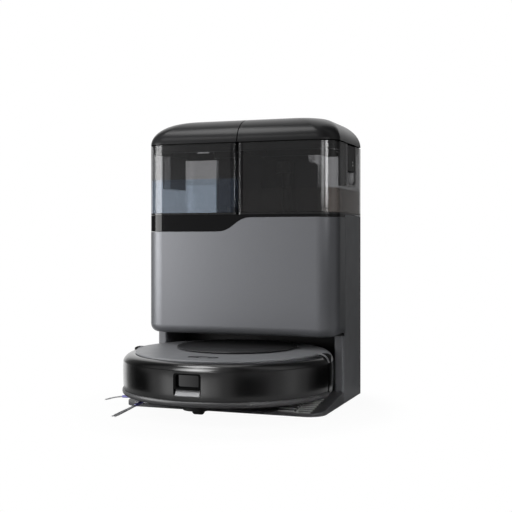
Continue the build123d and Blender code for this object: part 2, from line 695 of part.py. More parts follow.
def bumper():
    """Front half wall: barrel face, crease, round shoulder and a flange that runs under the top cover."""
    crease = BUMPER_CREASE
    flange = TOP - TOP_THICKNESS - 0.4
    section = make_face([
        ThreePointArc((168.8, 0, BUMPER_BOTTOM), (ROBOT_RADIUS, 0, 46), (169.4, 0, crease - 0.5)),
        Polyline((169.4, 0, crease - 0.5), (168.9, 0, crease), (169.2, 0, crease + 0.5)),
        ThreePointArc((169.2, 0, crease + 0.5), (163.2, 0, 75.2), (TOP_RADIUS, 0, flange)),
        Polyline((TOP_RADIUS, 0, flange), (146, 0, flange), (146, 0, flange - 2)),
        Polyline((146, 0, flange - 2), (TOP_RADIUS, 0, flange - 2)),
        ThreePointArc((TOP_RADIUS, 0, flange - 2), (161.6, 0, 73.0), (166.7, 0, crease)),
        ThreePointArc((166.7, 0, crease), (167.4, 0, 46), (166.2, 0, BUMPER_BOTTOM)),
        Polyline((166.2, 0, BUMPER_BOTTOM), (168.8, 0, BUMPER_BOTTOM)),
    ])
    wall = Rot(0, 0, 180) * revolve(section, Axis.Z, 180)
    wall -= slab((-180, 180), (BUMPER_END, 10), (0, 100))
    half = WINDOW_HALF_WIDTH
    return wall - front_window((-half, half), WINDOW_Z, (-180, -140), 4)


def bumper_lip():
    """Rubber edge under the bumper."""
    section = make_face([
        Polyline((163, 0, LIP_BOTTOM), (168.6, 0, LIP_BOTTOM)),
        ThreePointArc((168.6, 0, LIP_BOTTOM), (171, 0, 18.5), (169.8, 0, BUMPER_BOTTOM)),
        Polyline((169.8, 0, BUMPER_BOTTOM), (165.6, 0, BUMPER_BOTTOM), (163, 0, LIP_BOTTOM)),
    ])
    lip = Rot(0, 0, 180) * revolve(section, Axis.Z, 180)
    return lip - slab((-180, 180), (BUMPER_END, 10), (0, 100))


def sensor_frame():
    """Bezel in the bumper's window, with walls that slope in to the lens."""
    half = WINDOW_HALF_WIDTH - 0.2
    top = WINDOW_Z[1] - 0.2
    ring = turned([(156.5, CHIN_TOP), (169.3, CHIN_TOP), (169.3, top), (156.5, top)])
    frame = ring & front_window((-half, half), (CHIN_TOP, top), (-180, -140), 3.5)
    mouth = Plane.XZ * Pos(0, 52.3) * RectangleRounded(38, 20, 3)
    throat = Plane.XZ * Pos(0, 52.3) * RectangleRounded(33, 16, 2)
    frame -= loft([Pos(0, -171, 0) * mouth, Pos(0, -160, 0) * throat])
    return frame - front_window((-18.5, 18.5), (42.5, 62), (-162.2, -150), 2)


def sensor_lens():
    """Flat window of the front sensor."""
    return front_window((-18.3, 18.3), (42.7, 61.8), (-162, -159.6), 1.8)


def sensor_chin():
    """Sloping bar below the lens, with bevelled ends."""
    half = WINDOW_HALF_WIDTH - 0.2
    low, high = WINDOW_Z[0] + 0.2, CHIN_TOP - 0.1
    back = -159.6
    chin = side_prism(
        [(-168.3, low), (-168.3, low + 1.2), (-163.5, high), (back, high), (back, low)], (-half, half)
    )
    front_edges = [e for e in chin.edges() if abs(abs(e.center().X) - half) < 0.01 and e.center().Y < -164]
    slanted = max(front_edges, key=lambda e: e.length).length
    chin = chamfer([e for e in front_edges if e.length > slanted - 0.1], 2.6)
    return chin & front_window((-half, half), (low, WINDOW_Z[1]), (-180, -140), 4)


def drive_arm():
    """Right gearbox arm with its axle and pivot pin."""
    arm = side_prism([(-14, 20), (-14, 46), (34, 47), (47, 44), (47, 32), (20, 20)], (88.2, 98.8))
    arm = fillet(arm.edges().filter_by(Axis.X), 4)
    arm += across((84.2, 101.3), *ARM_PIVOT, 3)
    return arm + across((95, WHEEL_X + 9), 0, WHEEL_RADIUS, 3.5)


def wheel_hub():
    """Right wheel hub with five spokes."""
    low, high = WHEEL_X - 9, WHEEL_X + 9
    hub = across((low, high), 0, WHEEL_RADIUS, 24.9)
    hub -= across((WHEEL_X - 2, high + 1), 0, WHEEL_RADIUS, 21)
    hub += across((low, high), 0, WHEEL_RADIUS, 8)
    spoke = slab((WHEEL_X - 3, high - 1), (-2, 2), (4, 23))
    for step in range(5):
        hub += Pos(0, 0, WHEEL_RADIUS) * Rot(72 * step, 0, 0) * spoke
    return hub - across((low - 1, WHEEL_X + 9.2), 0, WHEEL_RADIUS, 3.6)


def tyre():
    """Right tyre with cross cut tread."""
    low, high = WHEEL_X - 10, WHEEL_X + 10
    ring = across((low, high), 0, WHEEL_RADIUS, WHEEL_RADIUS)
    ring -= across((low - 1, high + 1), 0, WHEEL_RADIUS, 25)
    rim = [e for e in ring.edges().filter_by(GeomType.CIRCLE) if e.radius > 30]
    ring = fillet(rim, 2)
    lugs = 20
    groove = slab((WHEEL_X + 1.2, high + 1), (-1.6, 1.6), (WHEEL_RADIUS - 2.6, WHEEL_RADIUS + 2))
    other = slab((low - 1, WHEEL_X - 1.2), (-1.6, 1.6), (WHEEL_RADIUS - 2.6, WHEEL_RADIUS + 2))
    for step in range(lugs):
        turn = 360 / lugs * step
        ring -= Pos(0, 0, WHEEL_RADIUS) * Rot(turn, 0, 0) * groove
        ring -= Pos(0, 0, WHEEL_RADIUS) * Rot(turn + 180 / lugs, 0, 0) * other
    return ring


def caster_fork():
    """Swivel cup of the caster, with its stem and the wheel's slot. It hangs a little on its spring."""
    fork = upright(0, CASTER_Y, (8.5, 28.5), 22) + upright(0, CASTER_Y, (28, 40), 4.5)
    wheel_y = CASTER_Y + CASTER_TRAIL
    fork -= slab((-9, 9), (wheel_y - 13.5, wheel_y + 13.5), (0, 26))
    fork += across((-16, 16), wheel_y, CASTER_RADIUS, 2)
    return Pos(0, 0, -CASTER_DROP) * fork


def caster_wheel():
    """Roller of the caster."""
    wheel_y = CASTER_Y + CASTER_TRAIL
    roller = across((-8, 8), wheel_y, CASTER_RADIUS, CASTER_RADIUS)
    roller = fillet(roller.edges().filter_by(GeomType.CIRCLE), 3)
    return Pos(0, 0, -CASTER_DROP) * (roller - across((-9, 9), wheel_y, CASTER_RADIUS, 2.1))


def side_brush_hub():
    """Rubber hub of the side brush: a cap, three drooping stalks and the drive shaft."""
    hub = upright(0, 0, (3.4, 8.2), 9) + upright(0, 0, (8, 28), 3)
    hub = fillet(hub.edges().group_by(Axis.Z)[0], 2)
    for angle in SIDE_BRUSH_ANGLES:
        stalk = Pos((STALK_REACH + 6) / 2, 0, 5.8) * Rot(0, 90, 0) * Cone(3, 2.3, STALK_REACH - 6)
        hub += Rot(0, 0, angle) * stalk
    return Pos(*SIDE_BRUSH, 0) * hub


def side_brush_bristles():
    """Three bristle bundles, each a flat fan that bends and droops. The one over the ramp droops less."""
    bundles = []
    for angle, droop, bend in zip(SIDE_BRUSH_ANGLES, BRISTLE_DROOP, BRISTLE_TRAIL):
        sections = []
        for share in (0.0, 0.35, 0.7, 1.0):
            reach = STALK_REACH + 0.4 + (BRISTLE_REACH - STALK_REACH) * share
            width = 3.0 + 9.0 * share
            thick = 3.2 - 1.4 * share
            trail = bend * share * share
            height = 5.8 - droop * share * share
            flat = Plane(origin=(reach, trail, height), x_dir=(0, 1, 0), z_dir=(1, 0, 0))
            sections.append(flat * RectangleRounded(width, thick, 0.85))
        bundles.append(Pos(*SIDE_BRUSH, 0) * Rot(0, 0, angle) * loft(sections))
    return bundles


def brush_fin(start, side):
    """One half fin of the main brush, twisting from the middle to one end."""
    twist = 50.0
    half_length = 82.0
    half_thickness = 1.0
    sections = []
    for share in (0.0, 0.5, 1.0):
        angle = radians(start + twist * share)
        out = (cos(angle), sin(angle))
        corners = []
        for radius, edge in ((8, -1), (BRUSH_RADIUS, -1), (BRUSH_RADIUS, 1), (8, 1)):
            y = BRUSH_Y + radius * out[0] - edge * half_thickness * out[1]
            z = BRUSH_Z + radius * out[1] + edge * half_thickness * out[0]
            corners.append((side * half_length * share, y, z))
        sections.append(make_face(Polyline(*corners, close=True)))
    return loft(sections)


def main_brush():
    """Roller with rubber fins that turn in a V towards the middle."""
    brush = across((-84, 84), BRUSH_Y, BRUSH_Z, 10) + across((-87, 87), BRUSH_Y, BRUSH_Z, 4)
    fins = 6
    for step in range(fins):
        for side in (-1, 1):
            brush += brush_fin(360 / fins * step, side)
    return brush


def mop_plate(x):
    """Mop holder: a dished disc on a square shouldered shaft."""
    plate = upright(x, MOP_Y, (4.6, 7.4), MOP_RADIUS - 5) + upright(x, MOP_Y, (7, 28), 6)
    plate += upright(x, MOP_Y, (7, 11), 8)
    for step in range(6):
        rib = slab((7, MOP_RADIUS - 8), (-1, 1), (7, 8.3))
        plate += Pos(x, MOP_Y, 0) * Rot(0, 0, 60 * step) * rib
    return plate


def mop_pad(x):
    """Round mop pad."""
    return fillet(upright(x, MOP_Y, (0.3, 4.5), MOP_RADIUS).edges(), 1.5)


station_pieces = {
    "base_plate": base_plate(),
    "foot_pads": foot_pads(),
    "wash_tray": wash_tray(),
    "left_side_panel": mirrored(right_side_panel()),
    "right_side_panel": right_side_panel(),
    "rear_panel": rear_panel(),
    "inner_frame": inner_frame(),
    "tank_deck": tank_deck(),
    "rear_spine": rear_spine(),
    "fascia_band": fascia_band(),
    "front_cover": front_cover(),
    "dust_bag": dust_bag(),
    "suction_fan": suction_fan(),
    "water_pumps": water_pumps(),
    "control_board": control_board(),
    "power_inlet": power_inlet(),
    "dock_contacts": dock_contacts(),
    "clean_tank": tank(SPINE_LEFT),
    "clean_valve": tank_valve(),
    "clean_lid": lid(SPINE_LEFT),
    "clean_lid_seal": lid_seal(SPINE_LEFT),
    "clean_latch": latch(),
    "dirty_tank": mirrored(tank(SPINE_RIGHT)),
    "dirty_standpipe": standpipe(),
    "dirty_lid": mirrored(lid(SPINE_RIGHT)),
    "dirty_lid_seal": mirrored(lid_seal(SPINE_RIGHT)),
    "dirty_latch": mirrored(latch()),
}

robot_pieces = {
    "robot_chassis": chassis(),
    "rear_shell": rear_shell(),
    "top_cover": top_cover(),
    "dust_box": dust_box(),
    "robot_fan": robot_fan(),
    "battery": battery(),
    "main_board": main_board(),
    "brush_guard": brush_guard(),
    "charge_plates": charge_plates(),
    "gear_motors": gear_motors(),
    "disc_lid": disc_lid(),
    "power_button": button(-BUTTON_X),
    "home_button": button(BUTTON_X),
    "bumper": bumper(),
    "bumper_lip": bumper_lip(),
    "sensor_frame": sensor_frame(),
    "sensor_lens": sensor_lens(),
    "sensor_chin": sensor_chin(),
    "left_drive_arm": mirrored(drive_arm()),
    "right_drive_arm": drive_arm(),
    "left_wheel_hub": mirrored(wheel_hub()),
    "right_wheel_hub": wheel_hub(),
    "left_tyre": mirrored(tyre()),
    "right_tyre": tyre(),
    "caster_fork": caster_fork(),
    "caster_wheel": caster_wheel(),
    "side_brush_hub": side_brush_hub(),
    "side_brush_bristles": side_brush_bristles(),
    "main_brush": main_brush(),
    "left_mop_plate": mop_plate(-MOP_X),
    "right_mop_plate": mop_plate(MOP_X),
    "left_mop_pad": mop_pad(-MOP_X),
    "right_mop_pad": mop_pad(MOP_X),
}


def write(name, solids):
    """Write one node from a piece or from a group of separate solids."""
    export_step(Compound(children=solids) if isinstance(solids, list) else solids, f"parts/{name}.step")


os.makedirs("parts", exist_ok=True)
for name, piece in station_pieces.items():
    write(name, piece)
for name, piece in robot_pieces.items():
    write(name, [docked(solid) for solid in piece] if isinstance(piece, list) else docked(piece))
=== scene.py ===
import math
import random

import bmesh
import bpy
from mathutils import Matrix, Vector


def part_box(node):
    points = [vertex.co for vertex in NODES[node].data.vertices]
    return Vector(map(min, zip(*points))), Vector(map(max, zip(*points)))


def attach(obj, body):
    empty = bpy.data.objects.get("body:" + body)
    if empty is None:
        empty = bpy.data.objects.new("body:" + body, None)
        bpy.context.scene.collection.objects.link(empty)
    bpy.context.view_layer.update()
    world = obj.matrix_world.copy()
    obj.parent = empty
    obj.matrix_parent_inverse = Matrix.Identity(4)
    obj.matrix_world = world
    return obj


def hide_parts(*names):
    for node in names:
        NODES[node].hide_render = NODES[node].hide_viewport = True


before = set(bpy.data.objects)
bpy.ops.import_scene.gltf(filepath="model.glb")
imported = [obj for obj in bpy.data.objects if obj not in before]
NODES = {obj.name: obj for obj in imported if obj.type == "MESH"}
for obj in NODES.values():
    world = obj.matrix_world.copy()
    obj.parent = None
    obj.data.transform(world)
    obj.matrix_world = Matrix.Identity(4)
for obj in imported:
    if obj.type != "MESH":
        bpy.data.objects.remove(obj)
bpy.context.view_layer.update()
MM = 0.001
TANK_SIDES = (("clean", -1), ("dirty", 1))
ROBOT_SIDES = (("left", -1), ("right", 1))

# Camera, fitted to the photograph
CAMERA_PLACE = (0.5711, -1.4694, 0.2722)
CAMERA_TURN = 19.62
CAMERA_LENS = 68.16
CAMERA_SENSOR = 36.0
CAMERA_SHIFT = -0.0322
CAMERA_FAR = 50.0

# Sizes repeated from the solids, in millimetres and degrees
DOCK_LIFT = 12.0
STATION_REAR = 215.0
SIDE_BRUSH = (-114.0, -68.0)
# Turn, droop and bend of each arm
SIDE_BRUSH_ARMS = ((42.0, 1.5, -9.0), (162.0, 11.0, 0.0), (282.0, 13.0, -30.0))
STALK_REACH = 30.0
BRISTLE_REACH = 94.0
BRISTLE_HEIGHT = 5.8
MOP_PLACE = (64.0, 88.0)
MOP_RADIUS = 58.0
TANK_HALF_WIDTH = 169.0
TANK_HALF_GAP = 1.0
TANK_FRONT = 37.0
TANK_WALL = 2.5
TANK_CORNER = 32.0
TANK_MIDDLE_CORNER = 6.0
TANK_FLOOR = 317.0
CLEAN_NOTCH = 86.5
DIRTY_NOTCH = 102.5
NOTCH_FRONT = 168.5
POCKET = (111.0, 178.0)
POCKET_REACH = 14.5
POCKET_UNDER = 362.5
LENS_REACH = 18.3
BAG_BOX = ((24.0, 136.0), (46.0, 96.0), (135.0, 288.0))
BAG_PORT = (80.0, 235.0)
BAG_PORT_RADIUS = 17.0
COLLAR_HALF = (35.0, 30.0)
LATCH_FACE = 168.6
BUTTON_Y = -107.0
RIB_START = -38.0
RIB_PITCH = 11.0
RIB_COUNT = 8
RIB_REACH = 150.0

# Sizes of what is made here, in millimetres
ROOT_REACH = STALK_REACH - 3
STRAND_LENGTH = BRISTLE_REACH - ROOT_REACH
SLEEVE_START = 22.0
SLEEVE_REACH = 54.0
SLEEVE_SHARE = (SLEEVE_REACH - ROOT_REACH) / STRAND_LENGTH
CLEAN_LEVEL = 374.0
DIRTY_LEVEL = 357.0
LATCH_DOTS = ((154.0, 404.4), (154.0, 399.2))
SCOOP_X = (157.8, 168.2)
SCOOP_Y = (116.8, 172.2)
SCOOP_Z = (365.6, 388.3)
REAR_SCREW_X = 146.0
REAR_SCREW_Z = (16.0, 160.0, 300.0)

# Where materials change, in millimetres
# Painted shade: the lids are painted dead black in this band over the tank's rim.
LID_GAP_SHADE = (432.4, 434.7)
SPINE_OPAQUE = 173.2
POCKET_MARGIN = 0.3
FLOOR_MARGIN = 0.1
FOOT_TOP = TANK_FLOOR + 0.6
MILKY_HALF = 7.5
DULL_HALF = 11.0


# Materials

class Tree:
    """A node tree under construction, with short calls to add and join its nodes."""

    def __init__(self, tree):
        self.tree = tree

    def add(self, kind, **settings):
        node = self.tree.nodes.new(kind)
        for key, value in settings.items():
            setattr(node, key, value)
        return node

    def join(self, source, target):
        self.tree.links.new(source, target)

    def math(self, operation, *values):
        """The result of an operation on sockets and numbers."""
        node = self.add("ShaderNodeMath", operation=operation)
        for slot, value in zip(node.inputs, values):
            if isinstance(value, (int, float)):
                slot.default_value = value
            else:
                self.join(value, slot)
        return node.outputs[0]

    def split(self, vector):
        """The X, Y and Z of a vector."""
        node = self.add("ShaderNodeSeparateXYZ")
        self.join(vector, node.inputs[0])
        return node.outputs

    def between(self, value, low, high):
        """1 where a value lies between two limits."""
        above = self.math("GREATER_THAN", value, low)
        below = self.math("LESS_THAN", value, high)
        return self.math("MULTIPLY", above, below)

    def lay(self, source, given, wanted, kind="LINEAR"):
        """The source's given range laid out over the wanted one."""
        node = self.add("ShaderNodeMapRange", interpolation_type=kind)
        for key, value in zip(("From Min", "From Max", "To Min", "To Max"), (*given, *wanted)):
            node.inputs[key].default_value = value
        self.join(source, node.inputs["Value"])
        return node.outputs["Result"]


class Shader(Tree):
    """A material under construction."""

    # Most of a noise lies in this range.
    noise_range = (0.3, 0.7)

    def __init__(self, name):
        self.material = bpy.data.materials.new(name)
        self.material.use_nodes = True
        super().__init__(self.material.node_tree)
        self.bsdf = self.tree.nodes["Principled BSDF"]
        self.output = self.tree.nodes["Material Output"]
        self.place = self.add("ShaderNodeTexCoord").outputs["Object"]

    def set(self, **values):
        """Numbers and colours that are the same all over the surface."""
        for key, value in values.items():
            self.bsdf.inputs[key.replace("_", " ")].default_value = value

    def feed(self, **sources):
        """Sockets whose values change over the surface."""
        for key, source in sources.items():
            self.join(source, self.bsdf.inputs[key.replace("_", " ")])

    def axes(self):
        """The place on the piece as X, Y and Z, in metres."""
        return self.split(self.place)

    def noise(self, scale, detail=2.0, stretch=None):
        """Noise with that many features to a metre, drawn out along an axis if stretch is given."""
        texture = self.add("ShaderNodeTexNoise")
        texture.inputs["Scale"].default_value = scale
        texture.inputs["Detail"].default_value = detail
        source = self.place
        if stretch:
            mapping = self.add("ShaderNodeMapping")
            mapping.inputs["Scale"].default_value = stretch
            self.join(source, mapping.inputs["Vector"])
            source = mapping.outputs["Vector"]
        self.join(source, texture.inputs["Vector"])
        return texture.outputs["Fac"]

    def spread(self, source, low, high):
        """A noise laid out between two values."""
        return self.lay(source, self.noise_range, (low, high))

    def uneven(self, source, value, share):
        """A value that a noise lowers and raises by a share of it."""
        return self.spread(source, value * (1 - share), value * (1 + share))

    def shades(self, source, dark, light):
        """Colours between two ends, chosen by the source."""
        ramp = self.add("ShaderNodeValToRGB")
        for mark, position, colour in zip(ramp.color_ramp.elements, self.noise_range, (dark, light)):
            mark.position = position
            mark.color = (*colour, 1)
        self.join(source, ramp.inputs["Fac"])
        return ramp.outputs["Color"]

    def tones(self, source, colour, low, high):
        """One colour, made darker and lighter by the source."""
        return self.shades(source, scaled(colour, low), scaled(colour, high))

    def relief(self, height, depth, strength, edge=0.0):
        """Bump from a height, over edges softened by a small radius."""
        bump = self.add("ShaderNodeBump")
        bump.inputs["Strength"].default_value = strength
        bump.inputs["Distance"].default_value = depth
        self.join(height, bump.inputs["Height"])
        if edge:
            bevel = self.add("ShaderNodeBevel", samples=4)
            bevel.inputs["Radius"].default_value = edge
            self.join(bevel.outputs["Normal"], bump.inputs["Normal"])
        self.feed(Normal=bump.outputs["Normal"])

    def mix(self, share, one, other):
        """Two shaders, with as much of the second as the share says."""
        node = self.add("ShaderNodeMixShader")
        self.join(share, node.inputs["Fac"])
        self.join(one, node.inputs[1])
        self.join(other, node.inputs[2])
        return node.outputs["Shader"]

    def show(self, surface):
        """Another surface in place of the plain one."""
        self.join(surface, self.output.inputs["Surface"])


def scaled(colour, factor):
    return tuple(min(1.0, c * factor) for c in colour)


def moulded(name, colour, rough, grain=1400.0, strength=0.1, edge=0.0006, vary=0.06, specular=0.5):
    """Moulded plastic or rubber: slow shade changes, uneven sheen and a fine grain."""
    shader = Shader(name)
    shader.feed(
        Base_Color=shader.tones(shader.noise(26.0, 3.0), colour, 1 - vary, 1 + vary),
        Roughness=shader.uneven(shader.noise(40.0), rough, 0.06),
    )
    shader.relief(shader.noise(grain), 0.00004, strength, edge)
    shader.set(IOR=1.5, Specular_IOR_Level=specular)
    return shader.material


def glossy(name, colour, rough, specular=0.5):
    """Smooth polished plastic, with only a slow change of shade and sheen."""
    shader = Shader(name)
    slow = shader.noise(14.0)
    shader.feed(Base_Color=shader.tones(slow, colour, 0.9, 1.1), Roughness=shader.uneven(slow, rough, 0.03))
    shader.set(IOR=1.5, Specular_IOR_Level=specular)
    return shader.material


def lid_plastic(name, colour, rough, specular):
    """Soft black plastic of the lids, with painted shade: dead black and without gloss in the gap over the
    tank's rim, where shade falls.
    """
    shader = Shader(name)
    gap_shade = shader.between(shader.axes()["Z"], LID_GAP_SHADE[0] * MM, LID_GAP_SHADE[1] * MM)
    # Painted shade in the gap: black, with no gloss.
    shader.feed(
        Base_Color=shader.shades(gap_shade, colour, (0.0, 0.0, 0.0)),
        Specular_IOR_Level=shader.lay(gap_shade, (0.0, 1.0), (specular, 0.0)),
        Roughness=shader.uneven(shader.noise(14.0), rough, 0.03),
    )
    shader.set(IOR=1.5)
    return shader.material


def ribbed(name, colour, painted_crest_highlight, rough):
    """Plastic of the ramp: its grip ribs' crests are painted paler than the hollows between them, a painted
    highlight where light catches the ribs.
    """
    shader = Shader(name)
    axes = shader.axes()
    count = shader.math("MULTIPLY_ADD", axes["Y"], 1 / (RIB_PITCH * MM), -RIB_START / RIB_PITCH)
    away = shader.math("PINGPONG", count, 0.5)
    rib = shader.lay(away, (0.2, 0.1), (0.0, 1.0))
    first = (RIB_START - RIB_PITCH / 2) * MM
    last = (RIB_START + (RIB_COUNT - 0.5) * RIB_PITCH) * MM
    along = shader.math("MULTIPLY", rib, shader.between(axes["Y"], first, last))
    across = shader.between(axes["X"], -RIB_REACH * MM, RIB_REACH * MM)
    # The crests get a painted highlight: a paler colour where light catches the ribs.
    shader.feed(
        Base_Color=shader.shades(shader.math("MULTIPLY", along, across), colour, painted_crest_highlight),
        Roughness=shader.uneven(shader.noise(40.0), rough, 0.06),
    )
    shader.relief(shader.noise(1100.0), 0.00004, 0.2, 0.0006)
    return shader.material


def lens_glass(name, colour):
    """Dark sensor window with a painted reflection: its gloss is set stronger at the left and weaker at the
    right, so its reflection fades towards the right.
    """
    shader = Shader(name)
    ends = (-LENS_REACH * MM, LENS_REACH * MM)
    shader.feed(
        Base_Color=shader.tones(shader.noise(40.0), colour, 0.8, 1.2),
        # Painted reflection: the gloss falls from left to right across the window.
        Specular_IOR_Level=shader.lay(shader.axes()["X"], ends, (0.55, 0.2)),
    )
    shader.set(Roughness=0.1)
    return shader.material


def satin_paint(name, colour):
    """Satin metallic paint of the front cover, with fine flakes."""
    shader = Shader(name)
    shader.feed(
        Base_Color=shader.tones(shader.noise(2600.0, 1.0), colour, 0.86, 1.16),
        Roughness=shader.spread(shader.noise(60.0, 3.0), 0.4, 0.44),
    )
    shader.relief(shader.noise(3200.0), 0.00005, 0.08, 0.0009)
    shader.set(Metallic=0.46)
    return shader.material


def brushed(name, colour, rough, stretch, metal=1.0):
    """Metal or metal paint with fine marks drawn out along one axis."""
    shader = Shader(name)
    marks = shader.noise(900.0, 2.0, stretch)
    shader.feed(
        Base_Color=shader.tones(marks, colour, 0.85, 1.1),
        Roughness=shader.spread(marks, rough - 0.06, rough + 0.06),
    )
    shader.relief(marks, 0.00003, 0.2, 0.0005)
    shader.set(Metallic=metal)
    return shader.material


def see_through(name, tint, body, cloud, rough, solid=None, dull=None, wet=None, foot=None):
    """Clear plastic or water: a tinted view through it under a gloss that grows towards the rim.
    solid and dull give sockets which are 1 where the piece is opaque and where it has little gloss.
    wet is a level, in metres, and the tint below it, and foot is a level below which the body is dark."""
    rim_start, rim_cloud = 0.6, 0.5
    least_gloss, most_gloss = 0.045, 0.9
    dull_loss = 0.85
    foot_shade = 0.08
    shader = Shader(name)
    colour = shader.tones(shader.noise(30.0), body, 0.9, 1.1)
    if foot:
        shade = shader.add("ShaderNodeHueSaturation")
        lightness = shader.lay(shader.axes()["Z"], (foot, foot + MM), (foot_shade, 1.0))
        shader.join(lightness, shade.inputs["Value"])
        shader.join(colour, shade.inputs["Color"])
        colour = shade.outputs["Color"]
    shader.feed(Base_Color=colour, Roughness=shader.uneven(shader.noise(120.0), rough, 0.3))
    view = shader.add("ShaderNodeBsdfTransparent")
    view.inputs["Color"].default_value = (*tint, 1)
    if wet:
        level, wet_tint = wet
        under = shader.between(shader.axes()["Z"], 0.0, level)
        shader.join(shader.shades(under, tint, wet_tint), view.inputs["Color"])
    weight = shader.add("ShaderNodeLayerWeight")
    weight.inputs["Blend"].default_value = 0.5
    facing = weight.outputs["Facing"]
    edge_on = shader.lay(facing, (rim_start, 1.0), (cloud, max(cloud, rim_cloud)), "SMOOTHSTEP")
    share = shader.math("MAXIMUM", edge_on, solid(shader) if solid else 0.0)
    clouded = shader.mix(share, view.outputs["BSDF"], shader.bsdf.outputs["BSDF"])
    gloss = shader.add("ShaderNodeBsdfGlossy")
    gloss.inputs["Roughness"].default_value = rough
    rim = shader.lay(shader.math("POWER", facing, 5.0), (0.0, 1.0), (least_gloss, most_gloss))
    kept = shader.math("MULTIPLY_ADD", dull(shader) if dull else 0.0, -dull_loss, 1.0)
    polish = shader.math("MULTIPLY", rim, kept)
    shader.show(shader.mix(polish, clouded, gloss.outputs["BSDF"]))
    return shader.material


def tank_solid_places(shader):
    """The tank's floor and its latch pocket, which are opaque, and its milky wall beside the other tank."""
    milky_share = 0.09
    far_out, far_up = 0.2, 1.0
    axes = shader.axes()
    inner = (TANK_HALF_WIDTH - POCKET_REACH - POCKET_MARGIN) * MM
    front, rear = (POCKET[0] - POCKET_MARGIN) * MM, (POCKET[1] + POCKET_MARGIN) * MM
    beside = shader.between(shader.math("ABSOLUTE", axes["X"]), inner, far_out)
    along = shader.between(axes["Y"], front, rear)
    above = shader.between(axes["Z"], (POCKET_UNDER - POCKET_MARGIN) * MM, far_up)
    pocket = shader.math("MULTIPLY", shader.math("MULTIPLY", beside, along), above)
    bottom = shader.between(axes["Z"], 0.0, (TANK_FLOOR + FLOOR_MARGIN) * MM)
    opaque = shader.math("MAXIMUM", pocket, bottom)
    milky = shader.between(axes["X"], -MILKY_HALF * MM, MILKY_HALF * MM)
    share = shader.math("MULTIPLY_ADD", milky, milky_share, opaque)
    share.node.use_clamp = True
    return share


def tank_dull_places(shader):
    """The wall between the two tanks and the rim of their floors, which are left unpolished."""
    axes = shader.axes()
    middle = shader.between(axes["X"], -DULL_HALF * MM, DULL_HALF * MM)
    return shader.math("MAXIMUM", middle, shader.between(axes["Z"], 0.0, FOOT_TOP * MM))


def spine_front(shader):
    """The front wall of the rear spine, which is opaque. Its sides and back are clear."""
    return shader.between(shader.axes()["Y"], 0.0, SPINE_OPAQUE * MM)


def circuit(name):
    """Circuit board: green lacquer over a pattern of tracks."""
    shader = Shader(name)
    tracks = shader.add("ShaderNodeTexBrick")
    tracks.inputs["Scale"].default_value = 260.0
    tracks.inputs["Color1"].default_value = (0.012, 0.09, 0.035, 1)
    tracks.inputs["Color2"].default_value = (0.02, 0.13, 0.05, 1)
    tracks.inputs["Mortar"].default_value = (0.05, 0.24, 0.1, 1)
    shader.join(shader.place, tracks.inputs["Vector"])
    shader.feed(Base_Color=tracks.outputs["Color"])
    shader.relief(tracks.outputs["Fac"], 0.00008, 0.4)
    shader.set(Roughness=0.35)
    return shader.material


def cloth(name, dark, light, weave):
    """Looped cloth or fibrous paper, with a dull sheen."""
    shader = Shader(name)
    loops = shader.add("ShaderNodeTexVoronoi")
    loops.inputs["Scale"].default_value = weave
    shader.join(shader.place, loops.inputs["Vector"])
    shader.feed(Base_Color=shader.shades(shader.noise(weave * 0.4, 3.0), dark, light))
    shader.relief(loops.outputs["Distance"], 0.0006, 0.7)
    shader.set(Roughness=0.92, Sheen_Weight=0.25, Sheen_Roughness=0.5)
    return shader.material


COVER = satin_paint("cover_grey", (0.158, 0.162, 0.174))
FASCIA = glossy("gloss_black", (0.004, 0.004, 0.0045), 0.12, specular=0.3)
LID = lid_plastic("lid_black", (0.02, 0.02, 0.021), 0.29, 0.25)
BUMPER = glossy("bumper_black", (0.0035, 0.0035, 0.0038), 0.17, specular=1.0)
LATCH = moulded("latch_black", (0.03, 0.03, 0.031), 0.5, specular=0.3)
LENS = lens_glass("lens_dark", (0.004, 0.004, 0.0045))
FRAME = glossy("frame_black", (0.003, 0.003, 0.003), 0.6, specular=0.05)
STATION = moulded("station_grey", (0.165, 0.168, 0.178), 0.5, grain=1900.0)
INNER = moulded("inner_dark", (0.012, 0.012, 0.013), 0.5)
BASE = moulded("base_dark", (0.15, 0.15, 0.156), 0.45, grain=1100.0, strength=0.2)
# The second colour is a painted highlight on the ramp's rib crests.
RAMP = ribbed("ramp_dark", (0.085, 0.085, 0.089), (0.44, 0.44, 0.45), 0.45)
SCOOP = brushed("scoop_silver", (0.42, 0.42, 0.43), 0.45, (1.0, 1.0, 0.1), metal=0.3)
RING = moulded("ring_grey", (0.23, 0.234, 0.246), 0.4, grain=2200.0, edge=0.0004)
DISC = moulded("disc_dark", (0.02, 0.02, 0.0215), 0.36, grain=2200.0, edge=0.0004)
BUTTON = moulded("button_dark", (0.02, 0.02, 0.022), 0.36, grain=2200.0, edge=0.0004)
RUBBER = moulded("soft_black", (0.02, 0.02, 0.021), 0.6, strength=0.2)
SEAL = moulded("seal_black", (0.004, 0.004, 0.004), 0.7, specular=0.15)
LIP = moulded("lip_rubber", (0.06, 0.06, 0.062), 0.36)
TYRE = moulded("tyre_black", (0.022, 0.022, 0.022), 0.75, grain=1000.0, strength=0.3)
PURPLE = moulded("brush_rubber", (0.14, 0.135, 0.36), 0.5, vary=0.1)
NYLON = moulded("bristle_nylon", (0.3, 0.3, 0.31), 0.5, edge=0.0, vary=0.25)
SILVER = brushed("chin_silver", (0.34, 0.34, 0.35), 0.45, (0.05, 1.0, 1.0), metal=0.15)
CONTACT = brushed("contact_metal", (0.8, 0.66, 0.4), 0.3, (1.0, 1.0, 0.08))
STEEL = brushed("screw_steel", (0.55, 0.55, 0.56), 0.32, (1.0, 1.0, 0.2))
BOARD = circuit("circuit_board")
PAD = cloth("mop_cloth", (0.2, 0.205, 0.22), (0.36, 0.365, 0.38), 900.0)
